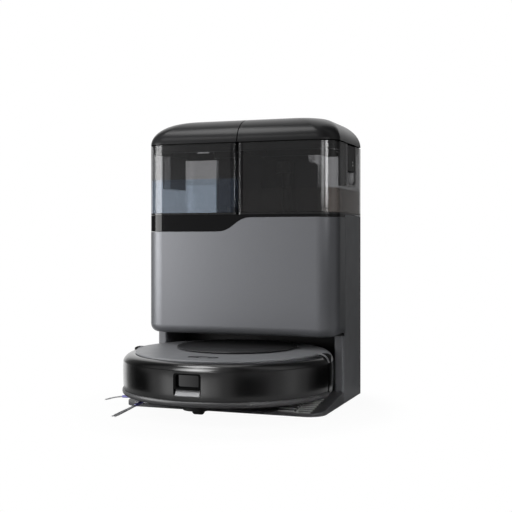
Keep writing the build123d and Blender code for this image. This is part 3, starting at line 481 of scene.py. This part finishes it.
PAPER = cloth("bag_paper", (0.6, 0.585, 0.55), (0.75, 0.735, 0.7), 1400.0)
CARD = moulded("bag_card", (0.55, 0.53, 0.48), 0.8, grain=900.0, strength=0.3, vary=0.08)
SMOKE_LOOK = ((0.66, 0.66, 0.665), (0.2, 0.2, 0.206), 0.03, 0.13, tank_solid_places, tank_dull_places)
WET_LOOK = (CLEAN_LEVEL * MM, (0.71, 0.735, 0.77))
SMOKE = see_through("tank_smoke", *SMOKE_LOOK, foot=FOOT_TOP * MM)
WET_SMOKE = see_through("clean_tank_smoke", *SMOKE_LOOK, wet=WET_LOOK, foot=FOOT_TOP * MM)
SPINE = see_through("spine_dark", (0.95, 0.95, 0.95), (0.012, 0.012, 0.013), 0.03, 0.5, spine_front)
CLEAN_WATER = see_through("clean_water", (0.98, 1.0, 1.0), (0.3, 0.4, 0.56), 0.1, 0.04)
DIRTY_WATER = see_through("dirty_water", (0.8, 0.745, 0.7), (0.09, 0.07, 0.056), 0.14, 0.05)
LIGHT_MARK = moulded("light_mark", (0.7, 0.7, 0.7), 0.5, edge=0.0)

FINISHES = {
    COVER: ["front_cover"],
    LID: ["clean_lid", "dirty_lid"],
    LATCH: ["clean_latch", "dirty_latch"],
    FASCIA: ["fascia_band"],
    SPINE: ["rear_spine"],
    BUMPER: ["bumper", "rear_shell"],
    STATION: ["left_side_panel", "right_side_panel", "rear_panel"],
    INNER: [
        "inner_frame", "tank_deck", "suction_fan", "water_pumps", "power_inlet", "robot_chassis",
        "brush_guard", "dust_box", "robot_fan", "battery", "gear_motors", "left_drive_arm", "right_drive_arm",
        "caster_fork", "left_mop_plate", "right_mop_plate", "left_wheel_hub", "right_wheel_hub",
        "dirty_standpipe", "clean_valve",
    ],
    BASE: ["wash_tray"],
    RAMP: ["base_plate"],
    SMOKE: ["dirty_tank"],
    WET_SMOKE: ["clean_tank"],
    RING: ["top_cover"],
    DISC: ["disc_lid"],
    BUTTON: ["power_button", "home_button"],
    RUBBER: ["foot_pads", "caster_wheel"],
    SEAL: ["clean_lid_seal", "dirty_lid_seal"],
    LIP: ["bumper_lip"],
    TYRE: ["left_tyre", "right_tyre"],
    PURPLE: ["side_brush_hub", "main_brush"],
    NYLON: ["side_brush_bristles"],
    SILVER: ["sensor_chin"],
    LENS: ["sensor_lens"],
    FRAME: ["sensor_frame"],
    CONTACT: ["dock_contacts", "charge_plates"],
    BOARD: ["control_board", "main_board"],
    PAD: ["left_mop_pad", "right_mop_pad"],
    PAPER: ["dust_bag"],
}


def dress(obj, material):
    """One material over the whole piece."""
    obj.data.materials.clear()
    obj.data.materials.append(material)


for finish, names in FINISHES.items():
    for name in names:
        dress(NODES[name], finish)


# Ways to build pieces

def piece(name, mesh, material, body):
    """A finished mesh that rides on a body."""
    obj = bpy.data.objects.new(name, mesh)
    bpy.context.scene.collection.objects.link(obj)
    dress(obj, material)
    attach(obj, body)
    return obj


def mesh_from(name, build, smooth=True, closed=True):
    """A mesh filled in by a function that is given an empty bmesh. An open one keeps its faces' sides."""
    bm = bmesh.new()
    build(bm)
    if closed:
        bmesh.ops.recalc_face_normals(bm, faces=bm.faces)
    mesh = bpy.data.meshes.new(name)
    bm.to_mesh(mesh)
    bm.free()
    for face in mesh.polygons:
        face.use_smooth = smooth
    return mesh


def vert(bm, x, y, z):
    """A vertex at a place in millimetres."""
    return bm.verts.new((x * MM, y * MM, z * MM))


def turns(sides):
    """The angles of a regular shape's corners."""
    return [2 * math.pi * step / sides for step in range(sides)]


def bridge(bm, one, other):
    """Faces between two closed loops of equally many points."""
    for step in range(len(one)):
        after = (step + 1) % len(one)
        bm.faces.new((one[step], one[after], other[after], other[step]))


def skin(bm, loops):
    """A closed surface over loops of points, capped at both ends."""
    for low, high in zip(loops, loops[1:]):
        bridge(bm, low, high)
    bm.faces.new(loops[0][::-1])
    bm.faces.new(loops[-1])


def wrap(bm, loops):
    """A ring with a hole: each loop is joined to the next one, and the last to the first."""
    for one, other in zip(loops, loops[1:] + loops[:1]):
        bridge(bm, one, other)


def tube(bm, points, radii, sides):
    """A closed tube through points, in metres."""
    loops = []
    for index, (point, radius) in enumerate(zip(points, radii)):
        ahead = points[min(index + 1, len(points) - 1)] - points[max(index - 1, 0)]
        turn = ahead.to_track_quat("Z", "Y")
        spokes = [Vector((radius * math.cos(angle), radius * math.sin(angle), 0)) for angle in turns(sides)]
        loops.append([bm.verts.new(point + turn @ spoke) for spoke in spokes])
    skin(bm, loops)


def prism(bm, points, low, high):
    """A plan outline in millimetres raised between two heights."""
    skin(bm, [[vert(bm, x, y, z) for x, y in points] for z in (low, high)])


def cut(mesh, cutter):
    """A copy of the mesh with the cutter's volume taken out."""
    body = bpy.data.objects.new("cut_body", mesh)
    tool = bpy.data.objects.new("cut_tool", cutter)
    for obj in (body, tool):
        bpy.context.scene.collection.objects.link(obj)
    modifier = body.modifiers.new("cut", "BOOLEAN")
    modifier.operation = "DIFFERENCE"
    modifier.object = tool
    result = bpy.data.meshes.new_from_object(body.evaluated_get(bpy.context.evaluated_depsgraph_get()))
    for obj in (body, tool):
        bpy.data.objects.remove(obj)
    return result


def dip(distance, width):
    """1 on a fold line, falling to 0 beside it."""
    return math.exp(-((distance / width) ** 2))


def power(value, exponent):
    """A signed power, for boxy round forms."""
    return math.copysign(abs(value) ** exponent, value)


def arc(share):
    """How far a round end reaches at a share of its width, stopping just short of a sharp edge."""
    return math.sqrt(max(0.0, 1 - (0.985 * share) ** 2))


# Water

def tank_outline(inset, notch):
    """Plan of the inside of the left tank, in millimetres, with its two round front corners."""
    corner_steps = 12
    reach = TANK_WALL + inset
    left = -TANK_HALF_WIDTH + reach
    right = -TANK_HALF_GAP - reach
    front = TANK_FRONT + reach
    rear = STATION_REAR - reach
    notch_front = NOTCH_FRONT - reach
    small = TANK_MIDDLE_CORNER - reach
    large = TANK_CORNER - reach
    points = []
    for radius, middle, start in ((small, right - small, 360), (large, left + large, 270)):
        for step in range(corner_steps + 1):
            angle = math.radians(start - 90 * step / corner_steps)
            points.append((middle + radius * math.cos(angle), front + radius + radius * math.sin(angle)))
    points += [(left, rear), (-notch - reach, rear), (-notch - reach, notch_front), (right, notch_front)]
    return points


def water(name, side, notch, level, material, body):
    """Water in one tank, round the latch pocket."""
    inset = 0.25
    past_wall = 5.0
    past_level = 20.0
    outline = [(side * -x, y) for x, y in tank_outline(inset, notch)]
    volume = mesh_from(name, lambda bm: prism(bm, outline, TANK_FLOOR + inset, level), smooth=False)
    outer = side * (TANK_HALF_WIDTH + past_wall)
    inner = side * (TANK_HALF_WIDTH - POCKET_REACH - inset)
    front = POCKET[0] - inset
    rear = POCKET[1] + inset
    low = POCKET_UNDER - inset
    corners = [(outer, front), (inner, front), (inner, rear), (outer, rear)]
    pocket = mesh_from("pocket", lambda bm: prism(bm, corners, low, level + past_level), smooth=False)
    piece(name, cut(volume, pocket), material, body)


water("clean_water", -1, CLEAN_NOTCH, CLEAN_LEVEL, CLEAN_WATER, "clean_tank")
water("dirty_water", 1, DIRTY_NOTCH, DIRTY_LEVEL, DIRTY_WATER, "dirty_tank")


# Robot

def arm_point(arm, reach, share, aside=0.0, above=0.0):
    """A place on an arm of the side brush, in metres. The arm bends and droops by the square of its share,
    which is 0 at the root of the bristles and 1 at their tips."""
    turn, droop, bend = arm
    side = aside + bend * share * share
    height = BRISTLE_HEIGHT - droop * share * share + above + DOCK_LIFT
    point = Matrix.Rotation(math.radians(turn), 3, "Z") @ Vector((reach, side, height))
    return (point + Vector((*SIDE_BRUSH, 0))) * MM


def strand(bm, draw, arm):
    """One bristle, which splays out past the sleeve and thins towards its tip."""
    steps = 7
    sides = 5
    root_half_width, splay = 1.5, 5.0
    root_half_height, flattening = 1.1, 0.3
    root_radius, thinning = 0.34, 0.16
    across = draw.uniform(-1, 1)
    up = draw.uniform(-1, 1)
    length = draw.uniform(0.9, 1.0)
    points = []
    radii = []
    for step in range(steps):
        share = length * step / (steps - 1)
        aside = across * (root_half_width + splay * max(0.0, share - SLEEVE_SHARE))
        above = up * (root_half_height - flattening * share)
        points.append(arm_point(arm, ROOT_REACH + STRAND_LENGTH * share, share, aside, above))
        radii.append((root_radius - thinning * share) * MM)
    tube(bm, points, radii, sides)


def bristles(bm):
    """A fan of bristles on each arm."""
    strands = 46
    draw = random.Random(11)
    for arm in SIDE_BRUSH_ARMS:
        for _ in range(strands):
            strand(bm, draw, arm)


side_bristles = piece("side_bristles", mesh_from("side_bristles", bristles), NYLON, "side_brush")
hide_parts("side_brush_bristles")


def pad_profile(low, high):
    """Radius and height along a mop pad's underside, round its rolled edge and back over its top."""
    rings = 26
    middle_radius = 2.0
    flat_width = MOP_RADIUS - 3.5
    edge = 1.9
    edge_steps = 6
    seams, seam_depth, seam_width = (18.0, 36.0), 0.9, 1.3
    loop_height, loop_pitch = 0.25, 2.1
    profile = []
    for step in range(rings + 1):
        radius = middle_radius + flat_width * (step / rings)
        seam = sum(seam_depth * dip(radius - place, seam_width) for place in seams)
        profile.append((radius, low + seam + loop_height * (1 + math.sin(radius * loop_pitch)) * 0.5))
    for step in range(1, edge_steps + 1):
        angle = math.radians(-90 + 180 / edge_steps * step)
        radius = MOP_RADIUS - edge + edge * math.cos(angle)
        profile.append((radius, (low + high) / 2 + (high - low) / 2 * math.sin(angle)))
    profile.append((middle_radius, high))
    return profile


def pad(bm, x):
    """Round looped mop pad with sewn rings and a rolled edge."""
    low = 0.3 + DOCK_LIFT
    high = 4.5 + DOCK_LIFT
    top_margin = 0.5
    wave = 0.18
    loops = []
    for radius, height in pad_profile(low, high):
        loop = []
        for angle in turns(96):
            lift = 0.0
            if height < high - top_margin:
                lift = wave * math.sin(9 * angle + radius) * math.sin(radius * 0.9)
            place = (x + radius * math.cos(angle), MOP_PLACE[1] + radius * math.sin(angle))
            loop.append(vert(bm, *place, max(low, height + lift)))
        loops.append(loop)
    skin(bm, loops)


for side_name, side in ROBOT_SIDES:
    mesh = mesh_from(f"{side_name}_pad", lambda bm: pad(bm, side * MOP_PLACE[0]))
    cloth_pad = piece(f"{side_name}_pad", mesh, PAD, f"{side_name}_mop")
    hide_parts(f"{side_name}_mop_pad")


def sleeves(bm):
    """Rubber sleeve round the root of each fan of bristles."""
    steps = 12
    sides = 14
    root_radius, thinning = 2.6, 0.5
    for arm in SIDE_BRUSH_ARMS:
        points = []
        radii = []
        for step in range(steps + 1):
            reach = SLEEVE_START + (SLEEVE_REACH - SLEEVE_START) * step / steps
            points.append(arm_point(arm, reach, max(0.0, (reach - ROOT_REACH) / STRAND_LENGTH)))
            radii.append((root_radius - thinning * (step / steps) ** 2) * MM)
        tube(bm, points, radii, sides)


piece("brush_sleeves", mesh_from("brush_sleeves", sleeves), PURPLE, "side_brush")


# Latches, buttons and other small pieces

def dots(bm, side):
    """Two small raised marks on the outside of a latch, longer than they are high."""
    profile = ((-0.4, 1.5), (0.1, 1.5), (0.25, 1.2))
    sides = 20
    stretch = 1.9
    for y, z in LATCH_DOTS:
        first = len(bm.verts)
        points = [Vector((side * (LATCH_FACE + out), y, z)) * MM for out, _ in profile]
        tube(bm, points, [radius * MM for _, radius in profile], sides)
        for corner in list(bm.verts)[first:]:
            corner.co.y = y * MM + stretch * (corner.co.y - y * MM)


for tank_name, side in TANK_SIDES:
    mesh = mesh_from(f"{tank_name}_latch_dots", lambda bm: dots(bm, side))
    piece(f"{tank_name}_latch_dots", mesh, LIGHT_MARK, f"{tank_name}_latch")


def scoop(bm, side):
    """Finger scoop under a latch: a concave liner with round ends and a round bottom."""
    bend = 14.0
    steps = 48
    rows = 16
    front, rear = SCOOP_Y
    low, high = SCOOP_Z
    depth = SCOOP_X[1] - SCOOP_X[0]
    grid = []
    for row in range(rows + 1):
        height = low + (high - low) * row / rows
        share = arc(max(0.0, low + depth - height) / depth)
        line = []
        for step in range(steps + 1):
            place = front + (rear - front) * step / steps
            off = max(0.0, front + bend - place, place - rear + bend) / bend
            line.append(vert(bm, side * (SCOOP_X[1] - depth * arc(off) * share), place, height))
        grid.append(line)
    for lower, upper in zip(grid, grid[1:]):
        for step in range(steps):
            corners = (lower[step], lower[step + 1], upper[step + 1], upper[step])
            bm.faces.new(corners if side > 0 else corners[::-1])


for tank_name, side in TANK_SIDES:
    mesh = mesh_from(f"{tank_name}_finger_scoop", lambda bm: scoop(bm, side), closed=False)
    liner = piece(f"{tank_name}_finger_scoop", mesh, SCOOP, f"{tank_name}_tank")
    thickness = liner.modifiers.new("thickness", "SOLIDIFY")
    thickness.thickness = 0.5 * MM
    thickness.offset = -1.0


def slot_line(length, width):
    """Outline of a slot with round ends, in millimetres."""
    corners = 48
    radius = width / 2
    middle = length / 2 - radius
    points = []
    for step in range(corners):
        angle = 2 * math.pi * (step + 0.5) / corners
        end = math.copysign(middle, math.cos(angle))
        points.append((end + radius * math.cos(angle), radius * math.sin(angle)))
    return points


def gasket(bm):
    """Thin black gasket round the two buttons, in their shallow recess."""
    outer, inner = (49.6, 18.6), (46.2, 15.2)
    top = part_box("top_cover")[1][2] / MM
    low, high = top - 0.75, top - 0.2
    loops = []
    for size, height in ((outer, low), (inner, low), (inner, high), (outer, high)):
        loops.append([vert(bm, x, BUTTON_Y + y, height) for x, y in slot_line(*size)])
    wrap(bm, loops)


piece("button_gasket", mesh_from("button_gasket", gasket, smooth=False), SEAL, "robot")


def shell_block(bm, side):
    """Black stop block where the rear shell meets the bumper's end."""
    section = ((156.0, 70.0), (156.0, 81.0), (165.5, 80.6), (170.2, 78.2), (170.2, 66.0))
    front, rear = 0.6, 9.0
    skin(bm, [[vert(bm, side * x, y, z + DOCK_LIFT) for x, z in section] for y in (rear, front)])
    bmesh.ops.bevel(bm, geom=list(bm.edges), offset=1.0 * MM, segments=3, profile=0.5, affect="EDGES")


for side_name, side in ROBOT_SIDES:
    mesh = mesh_from(f"{side_name}_shell_block", lambda bm: shell_block(bm, side), smooth=False)
    piece(f"{side_name}_shell_block", mesh, SEAL, "robot")


def screws(bm):
    """Pan head screws with a round socket, on the rear panel."""
    profile = ((3.2, -0.3), (3.2, 0.6), (2.8, 1.05), (1.6, 1.2), (1.45, 0.3), (0.4, 0.25))
    spokes = [Vector((math.cos(angle), 0, math.sin(angle))) for angle in turns(24)]
    for z in REAR_SCREW_Z:
        for x in (-REAR_SCREW_X, REAR_SCREW_X):
            loops = []
            for radius, out in profile:
                middle = Vector((x, STATION_REAR + out, z)) * MM
                loops.append([bm.verts.new(middle + spoke * radius * MM) for spoke in spokes])
            skin(bm, loops)


piece("rear_screws", mesh_from("rear_screws", screws, smooth=False), STEEL, "station")


# Dust bag

def slack(x, z, height):
    """How far the front of the bag lies in from its full form: folds, creases and sag, in millimetres."""
    side_fold = dip(abs(x) - 40 - 3 * math.sin(z / 19), 2.6)
    end_fold = dip(abs(z) - 56 - 0.06 * x, 2.4)
    rising_crease = dip(z - 0.7 * x - 12, 3.0)
    falling_crease = dip(z + 0.5 * x + 22 - 0.004 * x * x, 2.8)
    folds = 2.2 * side_fold + 1.8 * end_fold
    creases = 1.6 * rising_crease + 1.4 * falling_crease
    ripple = 1.2 * math.sin(x / 17 + 1) * math.sin(z / 23)
    return folds + creases + max(0.0, 3.5 * max(0.0, height) + ripple)


def bag(bm):
    """Filled paper bag: a boxy pillow with pleated sides, folded ends and a slack, creased front."""
    around = 176
    rows = 104
    room = 0.6
    front_room = 1.2
    pleats = 3
    pleat_depth = 7.0
    top_draw = 2.5
    middle = [(low + high) / 2 for low, high in BAG_BOX]
    half = [(high - low) / 2 - room for low, high in BAG_BOX]
    loops = []
    for row in range(1, rows):
        rise = math.pi * (row / rows - 0.5)
        girth = power(math.cos(rise), 0.42)
        height = power(math.sin(rise), 0.5)
        z = height * half[2]
        loop = []
        for angle in turns(around):
            across = power(math.cos(angle), 0.5) * girth
            depth = power(math.sin(angle), 0.62) * girth
            flank = abs(across) ** 6 * (1 - height ** 8)
            pleat = flank * pleat_depth * (0.5 - 0.5 * math.cos(pleats * math.pi * (depth + 1)))
            x = across * (half[0] - pleat - top_draw * max(0.0, height) ** 2)
            front = max(0.0, -depth) ** 2
            y = depth * (half[1] - front_room) + front * slack(x, z, height)
            loop.append(vert(bm, middle[0] + x, middle[1] + y, middle[2] + z))
        loops.append(loop)
    skin(bm, loops)


paper_bag = piece("paper_bag", mesh_from("paper_bag", bag), PAPER, "station")
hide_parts("dust_bag")


def squared(value):
    """A sine or cosine pushed out to the sides of a square."""
    return max(-1.0, min(1.0, 1.42 * value))


def collar(bm):
    """Card collar of the bag, with round corners and its port."""
    x, z = BAG_PORT
    corner = 7.2
    corner_start = 1.75
    front, back = 94.3, 98.7
    outer = []
    inner = []
    for angle in turns(64):
        across = squared(math.cos(angle))
        up = squared(math.sin(angle))
        round_off = corner * max(0.0, abs(across) + abs(up) - corner_start)
        outer.append((x + across * (COLLAR_HALF[0] - round_off), z + up * (COLLAR_HALF[1] - round_off)))
        inner.append((x + BAG_PORT_RADIUS * math.cos(angle), z + BAG_PORT_RADIUS * math.sin(angle)))
    edges = ((outer, front), (inner, front), (inner, back), (outer, back))
    wrap(bm, [[vert(bm, place, y, height) for place, height in line] for line, y in edges])


piece("bag_collar", mesh_from("bag_collar", collar, smooth=False), CARD, "station")

# Stage, light and camera

FLOOR_RADIUS = 0.31
FLOOR_FADE = (0.22, FLOOR_RADIUS)


def floor_material():
    """White floor that keeps a soft shadow near the object and fades to the backdrop.
    Glossy pieces see a glow that is painted dark close by, a painted shadow where the object shades the
    floor, and paler further out."""
    shader = Shader("floor_white")
    shader.set(Base_Color=(0.86, 0.86, 0.86, 1), Roughness=0.9)
    path = shader.add("ShaderNodeLightPath").outputs
    seen = shader.math("MAXIMUM", path["Is Camera Ray"], path["Is Transmission Ray"])
    distance = shader.add("ShaderNodeVectorMath", operation="LENGTH")
    shader.join(shader.place, distance.inputs[0])
    away = distance.outputs["Value"]
    shadeless = shader.lay(away, FLOOR_FADE, (0.95, 1.0), "SMOOTHSTEP")
    # Painted shadow seen in gloss: the glow is dim near the object and brighter further out.
    reflected_with_painted_shadow = shader.lay(away, FLOOR_FADE, (0.03, 0.4), "SMOOTHSTEP")
    glow = shader.add("ShaderNodeEmission")
    glow.inputs["Color"].default_value = (1, 1, 1, 1)
    shader.join(shader.math("MAXIMUM", seen, reflected_with_painted_shadow), glow.inputs["Strength"])
    share = shader.math("MAXIMUM", shader.math("MULTIPLY", seen, shadeless), path["Is Glossy Ray"])
    shader.show(shader.mix(share, shader.bsdf.outputs["BSDF"], glow.outputs["Emission"]))
    return shader.material


def disc(bm):
    bmesh.ops.create_circle(bm, cap_ends=True, segments=96, radius=FLOOR_RADIUS)


floor = bpy.data.objects.new("floor", mesh_from("floor", disc))
bpy.context.scene.collection.objects.link(floor)
dress(floor, floor_material())

# Brightness of the studio round the object: the azimuth is 0 in front and 90 to the right.
# The gloss also catches the bright ground in front, outside the floor's disc.
STUDIO_WALLS = (
    (-180, 1.0), (-140, 1.0), (-124, 0.15), (-100, 0.04), (-72, 0.3), (-32, 0.25), (0, 0.3), (18, 0.3),
    (34, 0.1), (45, 0.05), (66, 0.2), (92, 0.45), (112, 0.25), (130, 0.05), (164, 0.05), (176, 0.8),
    (180, 1.0),
)
STUDIO_GROUND = (
    (-180, 1.2), (-128, 1.2), (-116, 0.3), (-106, 0.09), (-94, 0.02), (-80, 0.02), (-60, 0.45), (-45, 1.3),
    (-9, 1.6), (4, 0.85), (17, 0.33), (34, 0.03), (44, 0.0), (56, 0.06), (72, 0.26), (93, 0.48), (108, 0.25),
    (122, 0.05), (132, 0.0), (172, 0.0), (180, 0.1),
)


def panels(tree, turn, stops):
    """Brightness by the turn round the object, which runs from 0 to 1."""
    ramp = tree.add("ShaderNodeValToRGB")
    ramp.color_ramp.interpolation = "EASE"
    for index, (angle, shade) in enumerate(stops):
        marks = ramp.color_ramp.elements
        mark = marks[index] if index < 2 else marks.new(1.0)
        mark.position = angle / 360 + 0.5
        mark.color = (shade, shade, shade, 1)
    tree.join(turn, ramp.inputs["Fac"])
    return ramp.outputs["Color"]


def surround():
    """Surroundings that are white to the camera and through clear pieces, and studio panels for the rest."""
    world = bpy.data.worlds.new("studio")
    bpy.context.scene.world = world
    world.use_nodes = True
    backdrop = world.node_tree.nodes["Background"]
    backdrop.inputs["Color"].default_value = (1, 1, 1, 1)
    tree = Tree(world.node_tree)
    axes = tree.split(tree.add("ShaderNodeTexCoord").outputs["Generated"])
    azimuth = tree.math("ARCTAN2", axes["X"], tree.math("MULTIPLY", axes["Y"], -1.0))
    turn = tree.math("MULTIPLY_ADD", azimuth, 0.5 / math.pi, 0.5)
    path = tree.add("ShaderNodeLightPath").outputs
    # 0 down to just under the horizon, and 1 from a little lower
    below = tree.math("MULTIPLY_ADD", axes["Z"], -25.0, -1.2)
    below.node.use_clamp = True
    ground_share = tree.math("MULTIPLY", path["Is Glossy Ray"], below)
    wall_share = tree.math("SUBTRACT", 1.0, ground_share)
    walls = tree.math("MULTIPLY", panels(tree, turn, STUDIO_WALLS), wall_share)
    ground = tree.math("MULTIPLY", panels(tree, turn, STUDIO_GROUND), ground_share)
    seen = tree.math("MAXIMUM", path["Is Camera Ray"], path["Is Transmission Ray"])
    level = tree.math("MAXIMUM", seen, tree.math("ADD", walls, ground))
    tree.join(level, backdrop.inputs["Strength"])


surround()


def softbox(name, place, target, width, height, watts, spread=180, gloss_only=False):
    """A rectangular lamp aimed at a point, with a grid where its spread is narrow.
    A gloss lamp only shows as a highlight."""
    lamp = bpy.data.lights.new(name, "AREA")
    lamp.shape = "RECTANGLE"
    lamp.size = width
    lamp.size_y = height
    lamp.energy = watts
    lamp.spread = math.radians(spread)
    obj = bpy.data.objects.new(name, lamp)
    obj.visible_diffuse = not gloss_only
    bpy.context.scene.collection.objects.link(obj)
    obj.location = place
    obj.rotation_euler = (Vector(target) - Vector(place)).to_track_quat("-Z", "Y").to_euler()
    return obj


def polar(azimuth, height, distance):
    """A place round the object: azimuth 0 is in front and 90 to the right."""
    angle = math.radians(azimuth)
    return (distance * math.sin(angle), -distance * math.cos(angle), height)


AIM_MIDDLE = (0.0, 0.05, 0.25)
AIM_ROBOT = (-0.03, -0.12, 0.07)
AIM_TANKS = (0.0, 0.06, 0.38)
AIM_RAMP = (0.13, -0.06, 0.01)
left_box = softbox("left_box", polar(-59, 0.32, 0.8), AIM_MIDDLE, 0.57, 0.5, 5.6)
# The bumper is flagged from this lamp, which the photograph doesn't show on its shoulder.
flagged = bpy.data.collections.new("flagged_from_left_box")
flagged.objects.link(NODES["bumper"])
left_box.light_linking.receiver_collection = flagged
flagged.collection_objects[0].light_linking.link_state = "EXCLUDE"
softbox("high_box", polar(-60, 1.6, 0.5), AIM_TANKS, 0.7, 0.5, 5.8)
softbox("robot_box", (-0.25, -0.62, 0.68), AIM_ROBOT, 0.55, 0.5, 0.4, spread=45, gloss_only=True)
softbox("right_strip", polar(50, 0.5, 1.2), AIM_TANKS, 0.5, 0.26, 0.085, spread=26, gloss_only=True)
softbox("right_wash", polar(26, 0.5, 1.2), AIM_TANKS, 0.52, 0.26, 0.034, spread=26, gloss_only=True)
softbox("ramp_box", (0.75, -0.7, 0.3), AIM_RAMP, 0.25, 0.15, 0.07, spread=20)

camera = bpy.data.objects.new("camera", bpy.data.cameras.new("camera"))
bpy.context.scene.collection.objects.link(camera)
camera.location = CAMERA_PLACE
camera.rotation_euler = (math.radians(90), 0, math.radians(CAMERA_TURN))
camera.data.sensor_width = CAMERA_SENSOR
camera.data.lens = CAMERA_LENS
camera.data.shift_y = CAMERA_SHIFT
camera.data.clip_end = CAMERA_FAR
bpy.context.scene.camera = camera
bpy.context.scene.view_settings.view_transform = "Standard"
